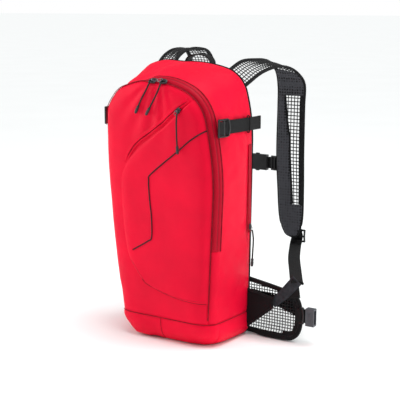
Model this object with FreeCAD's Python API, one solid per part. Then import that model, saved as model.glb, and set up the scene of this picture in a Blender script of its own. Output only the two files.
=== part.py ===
"""A slim zipped daypack: sewn shell, opening front, front pocket and mesh harness.

Millimetres. +Z is up, -Y is the front face and +Y is the wearer's side. The origin is on the ground under the
middle of the bag, and +X is the wearer's right.
"""

import FreeCAD, Part
import math
import os

V = FreeCAD.Vector
os.makedirs("parts", exist_ok=True)

# ---- driving dimensions ----
HALF_WIDTH = 104.0
FRONT_Y = -57.0
RIM_Y = -50.0
SEAM_Y = -37.0
BACK_Y = 46.0
TOP_Z = 420.0
SKIN = 2.5
GAP = 0.4
HINGE_Z = 150.0
BASE_SEAM_Z = 38.0
TOP_SEAM_Z = 372.0
BAND_MID_Y = -44.0
WEBBING_WIDTH = 20.0
WEBBING_THICK = 1.5
CORD_DIAMETER = 2.4

# The bag's half outline as seen from the front, from the middle of the base to the middle of the top: a base
# line, a bottom corner arc, a side line, a shoulder arc, a corner arc and half of the crown. The base line
# lies BASE_TRIM under the ground, and the shell is cut level with the ground.
BASE_TRIM = 0.5
SEAM_OUTLINE = [(0, -BASE_TRIM), (60, -BASE_TRIM), (83, 10), (93, 55), (HALF_WIDTH, 235), (101, 287),
                (92, 337), (77, 371), (48, 392), (0, 402)]
BACK_OUTLINE = [(0, -BASE_TRIM), (82, -BASE_TRIM), (94, 5), (99, 22), (HALF_WIDTH, 300), (101, 345),
                (93, 381), (80, 400), (58, 412), (0, TOP_Z)]
# How far the front face's outline lies inside the seam outline, at the rim and at the face.
RIM_INSET = 8.5
FACE_INSET = 22.0


def save(name, shape):
    """Write one node as STEP, after a check that it is closed solids only."""
    solids = shape.Solids
    assert solids and all(s.isValid() and s.Volume > 0 for s in solids), name
    assert len(name) < 60
    kept = solids[0] if len(solids) == 1 else Part.makeCompound(solids)
    kept.exportStep(f"parts/{name}.step")


def mirrored(shape):
    """The same piece for the other side of the bag."""
    return shape.mirror(V(0, 0, 0), V(1, 0, 0))


def save_pair(stem, right):
    save(f"{stem}_right", right)
    save(f"{stem}_left", mirrored(right))


def box(low, high):
    return Part.makeBox(high[0] - low[0], high[1] - low[1], high[2] - low[2], V(*low))


def inset_outline(half, inset):
    """The half outline moved inwards along its own normals."""
    last = len(half) - 1
    moved = []
    for i, (x, z) in enumerate(half):
        before = half[i - 1] if i else (-half[1][0], half[1][1])
        after = half[i + 1] if i < last else (-half[last - 1][0], half[last - 1][1])
        run, rise = after[0] - before[0], after[1] - before[1]
        length = math.hypot(run, rise)
        moved.append((x - inset * rise / length, z + inset * run / length))
    return moved


def outline_wire(half, inset, y):
    """A closed wire of the whole outline on the plane at y."""
    p = inset_outline(half, inset) if inset else half

    def at(i, side=1):
        return V(side * p[i][0], y, p[i][1])

    edges = [Part.LineSegment(at(1, -1), at(1)).toShape()]
    edges += [Part.Arc(at(1), at(2), at(3)).toShape(), Part.LineSegment(at(3), at(4)).toShape()]
    edges += [Part.Arc(at(4), at(5), at(6)).toShape(), Part.Arc(at(6), at(7), at(8)).toShape()]
    edges += [Part.Arc(at(8), at(9), at(8, -1)).toShape()]
    edges += [Part.Arc(at(8, -1), at(7, -1), at(6, -1)).toShape()]
    edges += [Part.Arc(at(6, -1), at(5, -1), at(4, -1)).toShape()]
    edges += [Part.LineSegment(at(4, -1), at(3, -1)).toShape()]
    edges += [Part.Arc(at(3, -1), at(2, -1), at(1, -1)).toShape()]
    return Part.Wire(edges)


def stack(stations):
    """A solid through outlines given as (outline, inset, y)."""
    return Part.makeLoft([outline_wire(*s) for s in stations], True, True)


def plate(outline, inset, y_low, y_high):
    return stack([(outline, inset, y_low), (outline, inset, y_high)])


def slab(points, y_low, y_high):
    """A flat piece with straight edges in the XZ plane, from y_low to y_high."""
    corners = [V(x, y_low, z) for x, z in points]
    face = Part.Face(Part.makePolygon(corners + corners[:1]))
    return face.extrude(V(0, y_high - y_low, 0))


def bar_ring(width, height, thick, bar, middle):
    """A ladder lock's frame in the XZ plane about the origin: two sides, end bars and a middle bar."""
    ring = box((-width / 2, 0, -height / 2), (width / 2, thick, height / 2))
    hole_half = width / 2 - bar
    ring = ring.cut(box((-hole_half, -1, -height / 2 + bar), (hole_half, thick + 1, middle - bar / 2)))
    return ring.cut(box((-hole_half, -1, middle + bar / 2), (hole_half, thick + 1, height / 2 - bar)))


def placed(shape, at, turns=()):
    """Turn a shape made about the origin, each turn as (axis, degrees), and then move it."""
    result = shape.copy()
    for axis, degrees in turns:
        result.rotate(V(0, 0, 0), V(*axis), degrees)
    result.translate(V(*at))
    return result


def section(middle, side, up):
    """A strap's four-cornered section, from its middle and its half width and half thickness vectors."""
    corners = [middle - side - up, middle + side - up, middle + side + up, middle - side + up]
    return Part.makePolygon(corners + corners[:1])


def band(centres, widths, across, thick):
    """A flat strap through the centres. widths are half widths along across; thick is square to the strap."""
    across = V(*across).normalize()
    points = [V(*c) for c in centres]
    wires = []
    for i, p in enumerate(points):
        run = points[min(i + 1, len(points) - 1)] - points[max(i - 1, 0)]
        up = across.cross(run).normalize() * (thick / 2)
        wires.append(section(p, across * widths[i], up))
    return Part.makeLoft(wires, True, True)


def cord(name, route):
    """A round cord along straight runs with tangent arcs, whose volume is checked against its length."""
    points = [V(*p) for p in route]
    edges, start = [], points[0]
    for a, b, c in zip(points, points[1:], points[2:]):
        into, away = (b - a), (c - b)
        turn = into.getAngle(away)
        radius = 0.45 * min(into.Length, away.Length) / math.tan(turn / 2)
        print(f"{name}: bend radius {radius:.1f} mm")
        setback = radius * math.tan(turn / 2)
        into.normalize()
        away.normalize()
        first, last = b - into * setback, b + away * setback
        middle = b + (away - into).normalize() * (radius / math.cos(turn / 2) - radius)
        edges += [Part.LineSegment(start, first).toShape(), Part.Arc(first, middle, last).toShape()]
        start = last
    edges.append(Part.LineSegment(start, points[-1]).toShape())
    path = Part.Wire(edges)
    ring = Part.Wire(Part.makeCircle(CORD_DIAMETER / 2, points[0], points[1] - points[0]))
    tube = path.makePipeShell([ring], True, False)
    expected = math.pi * CORD_DIAMETER ** 2 / 4 * path.Length
    assert abs(tube.Volume / expected - 1) < 0.03, name
    save(name, tube)


def cord_end(last, before, length=13.0, radius=2.3):
    """The moulded end that closes a pull cord: a short drop that carries on from the cord's last run."""
    along = (V(*last) - V(*before)).normalize()
    body = Part.makeCylinder(radius, length, V(*last) + along * 0.05, along)
    return body.makeFillet(radius * 0.6, [e for e in body.Edges if e.Curve.TypeId == "Part::GeomCircle"])


def slider(width, height, depth):
    """A zip slider about the origin, its wide face along XZ, with its bridge standing out towards -Y."""
    body = box((-width / 2, -depth / 2, -height / 2), (width / 2, 0, height / 2))
    bridge = box((-width / 5, -depth, -height / 4), (width / 5, -depth / 2, height / 4))
    return body.fuse(bridge).removeSplitter()


# ---- the sewn shell ----
FRONT_STATIONS = [(SEAM_OUTLINE, FACE_INSET, FRONT_Y), (SEAM_OUTLINE, RIM_INSET, RIM_Y),
                  (SEAM_OUTLINE, 0, SEAM_Y)]
outer = stack(FRONT_STATIONS + [(BACK_OUTLINE, 0, BACK_Y)])
inner = stack([(SEAM_OUTLINE, FACE_INSET + 1.5, FRONT_Y + SKIN), (SEAM_OUTLINE, RIM_INSET + 2.0, RIM_Y + 1.2),
               (SEAM_OUTLINE, SKIN, SEAM_Y), (BACK_OUTLINE, SKIN, BACK_Y + 1)])
WIDE = 200.0
HIGH = 500.0


def level(shape):
    """The part of a shape above the ground, so that it ends on a flat face there."""
    return shape.common(box((-WIDE, -WIDE, 0), (WIDE, WIDE, HIGH)))


shell = level(outer.cut(inner))


def piece_of_shell(y_range, z_range, x_range=(-WIDE, WIDE)):
    cell = box((x_range[0], y_range[0], z_range[0]), (x_range[1], y_range[1], z_range[1]))
    return shell.common(cell)


above_hinge = (HINGE_Z + GAP, HIGH)
save("door_panel", piece_of_shell((-WIDE, RIM_Y - GAP / 2), above_hinge))
save("main_zip_tape_inner", piece_of_shell((RIM_Y + GAP / 2, BAND_MID_Y - GAP), above_hinge))
save("main_zip_tape_outer", piece_of_shell((BAND_MID_Y + GAP, SEAM_Y - GAP / 2), above_hinge))
save("front_lower_panel", piece_of_shell((-WIDE, SEAM_Y - GAP / 2), (BASE_SEAM_Z + GAP / 2, HINGE_Z - GAP)))
save("bottom_panel", piece_of_shell((-WIDE, BACK_Y), (-1, BASE_SEAM_Z)))
gusset = (SEAM_Y, BACK_Y)
save_pair("side_panel", piece_of_shell(gusset, (BASE_SEAM_Z + GAP / 2, TOP_SEAM_Z - GAP / 2), (5, WIDE)))
save("top_panel", piece_of_shell(gusset, (TOP_SEAM_Z, HIGH)))

BACK_THICK = 3.0
back_face = BACK_Y + GAP / 2 + BACK_THICK
save("back_panel", level(plate(BACK_OUTLINE, 0, BACK_Y + GAP / 2, back_face)))
SHEET_CLEARANCE = 6.0
SHEET_Z = (20.0, 390.0)
sheet_y = (BACK_Y - 2.0, BACK_Y - 0.2)
frame_sheet = plate(BACK_OUTLINE, SHEET_CLEARANCE, *sheet_y)
save("frame_sheet", frame_sheet.common(box((-WIDE, 0, SHEET_Z[0]), (WIDE, WIDE, SHEET_Z[1]))))
SLEEVE = [(-72, 70), (72, 70), (72, 318), (60, 330), (-60, 330), (-72, 318)]
save("hydration_sleeve", slab(SLEEVE, BACK_Y - 9.0, BACK_Y - 7.4))

# ---- pads against the back ----
PAD_THICK = 9.0
pad_y = (back_face + 0.1, back_face + PAD_THICK)
PAD = [(14, 122), (58, 122), (64, 150), (66, 330), (56, 366), (24, 366), (14, 350)]
save_pair("back_pad", slab(PAD, *pad_y))
LUMBAR = [(-78, 22), (78, 22), (84, 40), (84, 84), (70, 108), (-70, 108), (-84, 84), (-84, 40)]
save("lumbar_pad", slab(LUMBAR, *pad_y))

# ---- front pocket, piping and zips ----
POCKET_THICK = 3.0
pocket_y = (FRONT_Y - 0.3 - POCKET_THICK, FRONT_Y - 0.3)
POCKET = [(58, 364), (40.7, 351), (9.7, 325.5), (-27.3, 300), (-49, 279), (-62, 256), (-64, 231), (-61, 173),
          (-52, 128), (-11, 86), (24, 75.5), (66, 69), (74, 160), (80, 235), (76, 290), (66, 345)]
pocket = slab(POCKET, *pocket_y)
save("pocket_upper", pocket.common(box((-WIDE, -WIDE, HINGE_Z + GAP), (WIDE, WIDE, HIGH))))
save("pocket_lower", pocket.common(box((-WIDE, -WIDE, 0), (WIDE, WIDE, HINGE_Z - GAP))))

ZIP_TOP = V(50, 0, 362)
ZIP_LOW = V(-29, 0, 302.75)
ZIP_HALF = 2.9
zip_run = (ZIP_TOP - ZIP_LOW).normalize()
zip_side = V(-zip_run.z, 0, zip_run.x) * ZIP_HALF
zip_corners = [ZIP_LOW - zip_side, ZIP_TOP - zip_side, ZIP_TOP + zip_side, ZIP_LOW + zip_side]
save("pocket_zip_tape", slab([(c.x, c.z) for c in zip_corners], *pocket_y))

PIPING_THICK = 1.2
PIPING_HALF = 1.0
piping_y = (pocket_y[0] - 0.1 - PIPING_THICK, pocket_y[0] - 0.1)
PIPING = [(72, 321), (33, 293), (-13, 257), (-18, 246), (-16, 215), (-14, 193), (-13, 160)]
piping_edges = [(x - PIPING_HALF, z + PIPING_HALF) for x, z in PIPING]
piping_edges += [(x + PIPING_HALF, z - PIPING_HALF) for x, z in reversed(PIPING)]
save("piping", slab(piping_edges, *piping_y))

# ---- main zip sliders at the top of the door, and their pulls ----
MAIN_SLIDER_X = 10.0
main_slider = slider(12.0, 8.0, 4.4)
RIM_TOP_Z = 393.3
SLIDER_LEAN = 33.0
for side, name in ((1, "right"), (-1, "left")):
    slider_at = (side * MAIN_SLIDER_X, RIM_Y - 1.6, RIM_TOP_Z + 2.2)
    save(f"main_slider_{name}", placed(main_slider, slider_at, [((1, 0, 0), -90 + SLIDER_LEAN)]))

MAIN_CORD_RIGHT = [(10, -57.6, 394.5), (9, -61, 387), (5, -62.6, 377), (-1, -63.2, 366.5), (-7, -63.4, 356.5)]
MAIN_CORD_LEFT = [(-10, -57.6, 394.5), (-12, -60.6, 387), (-17, -61.4, 378), (-23, -61.6, 368.5),
                  (-28, -61.8, 358.5)]
for name, route in (("right", MAIN_CORD_RIGHT), ("left", MAIN_CORD_LEFT)):
    cord(f"main_cord_{name}", route)
    save(f"main_cord_end_{name}", cord_end(route[-1], route[-2]))

# ---- pocket zip slider and pull ----
POCKET_SLIDER_AT = (42.0, pocket_y[0] - 0.4, 356.0)
zip_tilt = 90 - math.degrees(math.atan2(zip_run.z, zip_run.x))
save("pocket_slider", placed(slider(6.5, 9.0, 4.0), POCKET_SLIDER_AT, [((0, 1, 0), zip_tilt)]))
POCKET_CORD = [(42.8, -65.4, 351.5), (42.6, -67.2, 340), (43.2, -67.4, 328), (43.2, -67.2, 316),
               (43.9, -67.0, 304.5)]
cord("pocket_cord", POCKET_CORD)
save("pocket_cord_end", cord_end(POCKET_CORD[-1], POCKET_CORD[-2], length=12.0))

# ---- side zip along the right rear edge ----
SIDE_ZIP_X = HALF_WIDTH + 1.0
SIDE_ZIP_Y = 38.0
SIDE_ZIP_HALF = 4.0
SIDE_ZIP_Z = (164.0, 300.0)
side_tape = box((SIDE_ZIP_X - 0.7, SIDE_ZIP_Y - SIDE_ZIP_HALF, SIDE_ZIP_Z[0]),
                (SIDE_ZIP_X + 0.8, SIDE_ZIP_Y + SIDE_ZIP_HALF, SIDE_ZIP_Z[1]))
save("side_zip_tape", side_tape)
side_slider = placed(slider(7.0, 9.0, 4.0), (SIDE_ZIP_X + 1.3, SIDE_ZIP_Y, 174), [((0, 0, 1), 90)])
save("side_slider", side_slider)
SIDE_CORD = [(110.3, 38, 169), (112, 38.6, 159), (111.2, 40, 148), (109.8, 41, 136), (109, 41.4, 123)]
cord("side_cord", SIDE_CORD)
save("side_cord_end", cord_end(SIDE_CORD[-1], SIDE_CORD[-2]))

# ---- compression straps on the sides ----
# Each side has its own lock position and stands its webbing out from the cloth by its own distance. The left
# strap sits a little higher and further forward than the right one.
COMP_RUN = [(102.2, 0), (104.8, 24), (106.6, 44), (107.8, 60)]
COMP_STRAPS = [("right", (102.5, -32.5, 331.0), (99.1, -20), 0.0),
               ("left", (105.0, -36.5, 339.0), (98.5, -24), 4.5)]
comp_lock = placed(bar_ring(27.0, 22.0, 4.0, 3.0, 0.0), (0, 0, 0), [((0, 1, 0), 90), ((0, 0, 1), 82)])
for side, lock_at, run_start, stand_off in COMP_STRAPS:
    run = [(x + stand_off, y, lock_at[2]) for x, y in [run_start] + COMP_RUN]
    webbing = band(run, [WEBBING_WIDTH / 2] * len(run), (0, 0, 1), 1.6)
    lock = placed(comp_lock, lock_at)
    if side == "left":
        webbing, lock = mirrored(webbing), mirrored(lock)
    save(f"compression_webbing_{side}", webbing)
    save(f"compression_lock_{side}", lock)

# ---- haul loop at the top of the back ----
LOOP_X = 3.0
LOOP_HALF = 23.0
LOOP_Y = (50.5, 66.5)
LOOP_THICK = 2.2
loop_arch = [(-LOOP_HALF, 411), (-LOOP_HALF, 421), (-16, 428), (0, 431), (16, 428), (LOOP_HALF, 421),
             (LOOP_HALF, 411)]
loop_inner = [(LOOP_HALF - LOOP_THICK, 411), (LOOP_HALF - LOOP_THICK, 420), (15, 426), (0, 428.7), (-15, 426),
              (LOOP_THICK - LOOP_HALF, 420), (LOOP_THICK - LOOP_HALF, 411)]
save("haul_loop", slab([(x + LOOP_X, z) for x, z in loop_arch + loop_inner], *LOOP_Y))

# ---- shoulder straps ----
# Each strap is given by (centre, half width, tilt): the tilt in degrees lowers the strap's outer edge.
STRAP_THICK = 8.0
STRAP_Y = 209.0
STRAP_LOWER = [((85, 208, 376), 25.5, 0), ((84.5, STRAP_Y, 340), 25, 0), ((84, STRAP_Y, 265), 25.5, 0),
               ((86, STRAP_Y, 205), 24.5, 0), ((88, STRAP_Y, 150), 21.5, 0), ((90, 208.5, 121), 10, 0)]
RIGHT_ARCH = [((60, 56, 387), 20, 40), ((62, 80, 398), 20.5, 36), ((65, 112, 410), 21.5, 25),
              ((70, 146, 414), 22.5, 15), ((76, 178, 411), 23, 14), ((82, 199, 397), 23.5, 9)]
LEFT_ARCH = [((67, 57, 396), 20, 20), ((69, 80, 420), 20.5, 12), ((72, 112, 432), 21.5, 6),
             ((75, 146, 434), 22.5, 2), ((79, 178, 428), 24, 0), ((82, 199, 406), 25, 0)]


def shoulder_strap(sections):
    wires = []
    for i, (centre, half, tilt) in enumerate(sections):
        before, after = sections[max(i - 1, 0)][0], sections[min(i + 1, len(sections) - 1)][0]
        across = V(math.cos(math.radians(tilt)), 0, -math.sin(math.radians(tilt)))
        up = across.cross(V(*after) - V(*before)).normalize() * (STRAP_THICK / 2)
        wires.append(section(V(*centre), across * half, up))
    return Part.makeLoft(wires, True, True)


save("shoulder_strap_right", shoulder_strap(RIGHT_ARCH + STRAP_LOWER))
save("shoulder_strap_left", mirrored(shoulder_strap(LEFT_ARCH + STRAP_LOWER)))

LOCK_AT = (99, STRAP_Y + STRAP_THICK / 2 + 1.0, 124)
save_pair("shoulder_lock", placed(bar_ring(26.0, 22.0, 4.0, 3.0, -1.0), LOCK_AT))

# ---- lower corner tabs and the webbing to the shoulder straps ----
# The right tab lies flat, out to its side. The left tab and belt wing are folded back behind the bag.
FOLD_BACK = -70.0
TAB_ROOT = (-104.5, 42.5, 0)
WING_ROOT = (-96.0, 54.0, 0)


def folded_back(right, root):
    """The left copy of a piece made for the right, turned back about the upright line through its root."""
    left = mirrored(right)
    left.rotate(V(*root), V(0, 0, 1), FOLD_BACK)
    return left


TAB = [(104.5, 90), (104.5, 14), (146, 52), (146, 64)]
tab = slab(TAB, 41.5, 43.5)
save("corner_tab_right", tab)
save("corner_tab_left", folded_back(tab, TAB_ROOT))
diagonal = band([(143, 45.4, 55), (164, 46, 76), (181, 47, 96)], [7.0, 9.5, 9.0], (0.62, 0.1, -0.78),
                WEBBING_THICK)
HANGING_RIGHT = [(179, 50.5, 92), (154, 98, 98), (127, 150, 103), (101, 208, 108)]
HANGING_LEFT = [(-122.4, 115.2, 92), (-117, 140, 77), (-109, 172, 80), (-101, 208, 108)]
hanging_half = WEBBING_WIDTH / 2 - 1
for side, run, across, lower in (("right", HANGING_RIGHT, (0.89, 0.454, 0), diagonal),
                                 ("left", HANGING_LEFT, (0.975, -0.225, 0), folded_back(diagonal, TAB_ROOT))):
    hanging = band(run, [hanging_half] * len(run), across, WEBBING_THICK)
    save(f"shoulder_webbing_{side}", hanging.fuse(lower).removeSplitter())

# ---- sternum strap between the shoulder straps ----
STERNUM_Z = 243.0
sternum_y = STRAP_Y + STRAP_THICK / 2 + 0.6
web_y = (sternum_y + 1.6, sternum_y + 3.0)
web_z = (STERNUM_Z - WEBBING_WIDTH / 2, STERNUM_Z + WEBBING_WIDTH / 2)
slot_room = 0.4
sternum_slider = box((62, sternum_y, STERNUM_Z - 14), (78, sternum_y + 5, STERNUM_Z + 14))
sternum_slider = sternum_slider.cut(box((60, web_y[0] - slot_room, web_z[0] - slot_room),
                                        (90, web_y[1] + slot_room, web_z[1] + slot_room)))
save_pair("sternum_slider", sternum_slider)
# The buckle's mouth is at BUCKLE_X: the socket half is on the right of it and the pronged half on the left.
BUCKLE_X = 12.0
PRONG_LENGTH = 16.0
socket_end = BUCKLE_X + 26
plug_end = BUCKLE_X - 16
save("sternum_webbing_right", box((socket_end + 0.3, web_y[0], web_z[0]), (77, web_y[1], web_z[1])))
save("sternum_webbing_left", box((-77, web_y[0], web_z[0]), (plug_end - 0.3, web_y[1], web_z[1])))
buckle_y = (sternum_y - 1.5, sternum_y + 6.0)
buckle_z = (STERNUM_Z - 13.0, STERNUM_Z + 13.0)
WALL = 1.6
female = box((BUCKLE_X, buckle_y[0], buckle_z[0]), (socket_end, buckle_y[1], buckle_z[1]))
female = female.cut(box((BUCKLE_X - 1, buckle_y[0] + WALL, buckle_z[0] + WALL),
                        (BUCKLE_X + PRONG_LENGTH + 3, buckle_y[1] - WALL, buckle_z[1] - WALL)))
save("sternum_buckle_female", female)
PRONG_ROOM = 0.6
prong_y = (buckle_y[0] + WALL + PRONG_ROOM, buckle_y[1] - WALL - PRONG_ROOM)
PRONG_HEIGHTS = [-8.4, 0.0, 8.4]
PRONG_HALF = 2.2
male = box((plug_end, buckle_y[0], buckle_z[0]), (BUCKLE_X - 0.5, buckle_y[1], buckle_z[1]))
for height in PRONG_HEIGHTS:
    male = male.fuse(box((BUCKLE_X - 2, prong_y[0], STERNUM_Z + height - PRONG_HALF),
                         (BUCKLE_X + PRONG_LENGTH, prong_y[1], STERNUM_Z + height + PRONG_HALF)))
save("sternum_buckle_male", male.removeSplitter())

# ---- hip belt ----
WING_Y = (50.8, 57.2)
WING = [(93, 0.6), (172, 0.6), (184, 10), (190.5, 34), (189, 57), (181, 71), (156, 80), (93, 91)]
HIP_Z = 42.5
HIP_WEB_HALF = 11.0
hip_mid_y = (WING_Y[0] + WING_Y[1]) / 2
wing = slab(WING, *WING_Y)
hip_web = box((191, hip_mid_y - 0.8, HIP_Z - HIP_WEB_HALF), (196.6, hip_mid_y + 0.8, HIP_Z + HIP_WEB_HALF))
for stem, right in (("hip_wing", wing), ("hip_webbing", hip_web)):
    save(f"{stem}_right", right)
    save(f"{stem}_left", folded_back(right, WING_ROOT))
HIP_BUCKLE_X = 197.2
BODY_END = 211.0
BODY_HALF = 13.5
SOCKET_HALF = 11.0
hip_body = box((HIP_BUCKLE_X, hip_mid_y - 5, HIP_Z - BODY_HALF), (BODY_END, hip_mid_y + 5, HIP_Z + BODY_HALF))
socket = box((201, hip_mid_y - 3.2, HIP_Z - SOCKET_HALF),
             (BODY_END + 1, hip_mid_y + 3.2, HIP_Z + SOCKET_HALF))
save("hip_buckle_female", hip_body.cut(socket))
HIP_PRONG_X = (205.0, 215.5)
HIP_PRONG_HEIGHTS = [-8.5, 0.0, 8.5]
prongs = box((HIP_BUCKLE_X, hip_mid_y - 3, HIP_Z - 12.5), (206, hip_mid_y + 3, HIP_Z + 12.5))
for height in HIP_PRONG_HEIGHTS:
    prongs = prongs.fuse(box((HIP_PRONG_X[0], hip_mid_y - 2.4, HIP_Z + height - 2),
                             (HIP_PRONG_X[1], hip_mid_y + 2.4, HIP_Z + height + 2)))
save("hip_buckle_male", folded_back(prongs.removeSplitter(), WING_ROOT))
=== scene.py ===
"""Looks for the slim daypack: sewn nylon shell, front pocket, zips, mesh harness, webbing and pull cords.

Shapes are worked out in millimetres and become metres when a piece is made. +Z is up, and -Y is the front.
"""

import math

import bmesh
import bpy
import numpy as np
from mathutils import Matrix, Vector, noise


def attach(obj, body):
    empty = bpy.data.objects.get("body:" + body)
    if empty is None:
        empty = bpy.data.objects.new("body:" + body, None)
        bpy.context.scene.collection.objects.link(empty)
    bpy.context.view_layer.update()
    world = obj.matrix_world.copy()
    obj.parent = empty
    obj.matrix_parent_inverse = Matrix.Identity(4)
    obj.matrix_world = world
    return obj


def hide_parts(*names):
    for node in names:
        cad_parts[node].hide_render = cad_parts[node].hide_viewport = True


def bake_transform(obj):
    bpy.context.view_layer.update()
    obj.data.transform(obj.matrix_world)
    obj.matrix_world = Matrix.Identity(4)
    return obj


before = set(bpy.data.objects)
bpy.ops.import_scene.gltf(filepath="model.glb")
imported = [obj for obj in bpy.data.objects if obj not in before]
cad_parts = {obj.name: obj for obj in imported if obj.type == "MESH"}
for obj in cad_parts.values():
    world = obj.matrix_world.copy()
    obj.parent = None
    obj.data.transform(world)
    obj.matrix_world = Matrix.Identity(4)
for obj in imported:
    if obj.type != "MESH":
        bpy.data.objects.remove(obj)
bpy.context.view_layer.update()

MM = 0.001
scene = bpy.context.scene

# ---- the bag's driving sizes: the CAD's depths and heights, and outlines filled out as soft cloth ----
SEAM_OUTLINE = [(0, 0), (72, 0), (87, 7), (95, 40), (104, 235), (101, 287), (92, 337), (77, 371), (48, 392),
                (0, 402)]
BACK_OUTLINE = [(0, 0), (90, 0), (97, 4), (100, 20), (104, 300), (101, 345), (93, 381), (80, 400), (58, 412),
                (0, 420)]
EDGE_STEPS = (8, 12, 46, 28, 14, 13)
RIM_Y, BAND_MID_Y, SEAM_Y, BACK_Y = -50.0, -44.0, -37.0, 46.0
RIM_INSET = 8.5
FACE_INSET = 22.0
BASE_SEAM_Z, HINGE_Z = 38.0, 150.0
FACE_RISE = 8.5
WALL = 1.3
FORWARD = (0, -1, 0)
BACKWARD = (0, 1, 0)
SIDES = ("right", "left")


# ---- camera, light and floor ----
def put(obj, place, target):
    """Adds a lamp or the camera to the scene, at a place and pointed at a target."""
    scene.collection.objects.link(obj)
    obj.location = place
    obj.rotation_euler = (Vector(target) - obj.location).to_track_quat("-Z", "Y").to_euler()


def soft_light(name, place, target, size, watts):
    lamp = bpy.data.lights.new(name, "AREA")
    lamp.shape = "RECTANGLE"
    lamp.size, lamp.size_y = size
    lamp.energy = watts
    put(bpy.data.objects.new(name, lamp), place, target)


camera = bpy.data.objects.new("camera", bpy.data.cameras.new("camera"))
camera.data.lens = 89.2
camera.data.sensor_width = 36.0
put(camera, (0.8346, -1.2420, 0.5062), (0.0286, 0.0183, 0.210))
scene.camera = camera

soft_light("left_softbox", (-1.05, -0.55, 0.75), (-0.05, 0, 0.24), (0.6, 1.0), 9.5)
soft_light("right_softbox", (1.7, 0.5, 0.8), (0.05, 0, 0.2), (1.0, 1.4), 13)
soft_light("front_fill", (0.7, -2.0, 0.9), (0, 0, 0.2), (1.2, 1.2), 1.5)
sky = bpy.data.lights.new("overhead", "SUN")
sky.energy = 2.6
sky.angle = math.radians(45)
put(bpy.data.objects.new("overhead", sky), (0.3, 0.1, 1.6), (0, 0, 0.2))


def studio_world():
    """White where the camera looks past the floor, and a dim white fill for everything else."""
    world = bpy.data.worlds.new("studio")
    world.use_nodes = True
    tree = world.node_tree
    fill = tree.nodes["Background"]
    fill.inputs["Color"].default_value = (1, 1, 1, 1)
    fill.inputs["Strength"].default_value = 0.26
    backdrop = tree.nodes.new("ShaderNodeBackground")
    backdrop.inputs["Color"].default_value = (1, 1, 1, 1)
    seen = tree.nodes.new("ShaderNodeLightPath")
    either = tree.nodes.new("ShaderNodeMixShader")
    tree.links.new(seen.outputs["Is Camera Ray"], either.inputs[0])
    tree.links.new(fill.outputs[0], either.inputs[1])
    tree.links.new(backdrop.outputs[0], either.inputs[2])
    tree.links.new(either.outputs[0], tree.nodes["World Output"].inputs["Surface"])
    return world


scene.world = studio_world()
scene.view_settings.view_transform = "Standard"


# ---- materials ----
# Blender's wave texture repeats every pi / 10 at scale 1.
WAVE_SCALE = 0.314159


class Nodes:
    """A small helper that builds one material's node tree."""

    def __init__(self, name, rough, **shader):
        self.material = bpy.data.materials.new(name)
        self.material.use_nodes = True
        self.tree = self.material.node_tree
        self.shader = self.tree.nodes["Principled BSDF"]
        self.shader.inputs["Roughness"].default_value = rough
        for key, value in shader.items():
            self.shader.inputs[key.replace("_", " ")].default_value = value
        self.place = self.tree.nodes.new("ShaderNodeTexCoord")

    def node(self, kind, **values):
        made = self.tree.nodes.new("ShaderNode" + kind)
        for key, value in values.items():
            setattr(made, key, value)
        return made

    def link(self, out, into):
        self.tree.links.new(out, into)
        return into.node

    def math(self, operation, a, b):
        made = self.node("Math", operation=operation)
        for socket, value in zip(made.inputs, (a, b)):
            if isinstance(value, (int, float)):
                socket.default_value = value
            else:
                self.link(value, socket)
        return made.outputs[0]

    def noise(self, scale, detail=3.0):
        made = self.node("TexNoise")
        made.inputs["Scale"].default_value = scale
        made.inputs["Detail"].default_value = detail
        self.link(self.place.outputs["Object"], made.inputs["Vector"])
        return made.outputs["Fac"]

    def wave(self, pitch_mm, direction, coords="UV"):
        """Bands that repeat every pitch_mm."""
        made = self.node("TexWave", bands_direction=direction, wave_profile="SIN")
        made.inputs["Scale"].default_value = WAVE_SCALE / (pitch_mm * MM)
        self.link(self.place.outputs[coords], made.inputs["Vector"])
        return made.outputs["Fac"]

    def ramp(self, factor, stops):
        made = self.node("ValToRGB")
        ends = made.color_ramp.elements
        for i, (at, colour) in enumerate(stops):
            if i >= len(ends):
                ends.new(at)
            ends[i].position = at
            ends[i].color = (*colour, 1)
        self.link(factor, made.inputs["Fac"])
        return made.outputs["Color"]

    def colour(self, socket):
        self.link(socket, self.shader.inputs["Base Color"])

    def mottle(self, factor, low, high):
        """Colours the shader from one (place, colour) stop to another."""
        self.colour(self.ramp(factor, [low, high]))

    def uneven_gloss(self, scale, low, high):
        """Roughness that drifts between low and high in soft spots."""
        made = self.node("MapRange")
        made.inputs["To Min"].default_value = low
        made.inputs["To Max"].default_value = high
        self.link(self.noise(scale), made.inputs["Value"])
        self.link(made.outputs[0], self.shader.inputs["Roughness"])

    def bump(self, height, depth):
        made = self.node("Bump")
        made.inputs["Distance"].default_value = depth
        made.inputs["Strength"].default_value = 1.0
        self.link(height, made.inputs["Height"])
        if self.shader.inputs["Normal"].is_linked:
            self.link(self.shader.inputs["Normal"].links[0].from_socket, made.inputs["Normal"])
        self.link(made.outputs["Normal"], self.shader.inputs["Normal"])


def mixed(colour, factor):
    return tuple(min(1.0, c * factor) for c in colour)


def nylon(name, colour, rough, weave_mm, weave_depth, crease=0.0010, sheen=0.02, tint=(1.0, 0.3, 0.35)):
    """Coated plain-weave cloth: fine threads, soft creases and slightly uneven dye."""
    m = Nodes(name, rough, Sheen_Weight=sheen, Sheen_Roughness=0.45, Sheen_Tint=(*tint, 1),
              Specular_IOR_Level=0.10)
    m.mottle(m.noise(14.0, 4.0), (0.3, mixed(colour, 0.9)), (0.7, mixed(colour, 1.08)))
    threads = m.math("MULTIPLY", m.wave(weave_mm, "X"), m.wave(weave_mm, "Y"))
    m.bump(m.noise(26.0, 2.0), crease)
    m.bump(m.noise(95.0), crease * 0.25)
    m.bump(threads, weave_depth)
    m.uneven_gloss(40.0, rough - 0.07, rough + 0.09)
    return m.material


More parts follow.
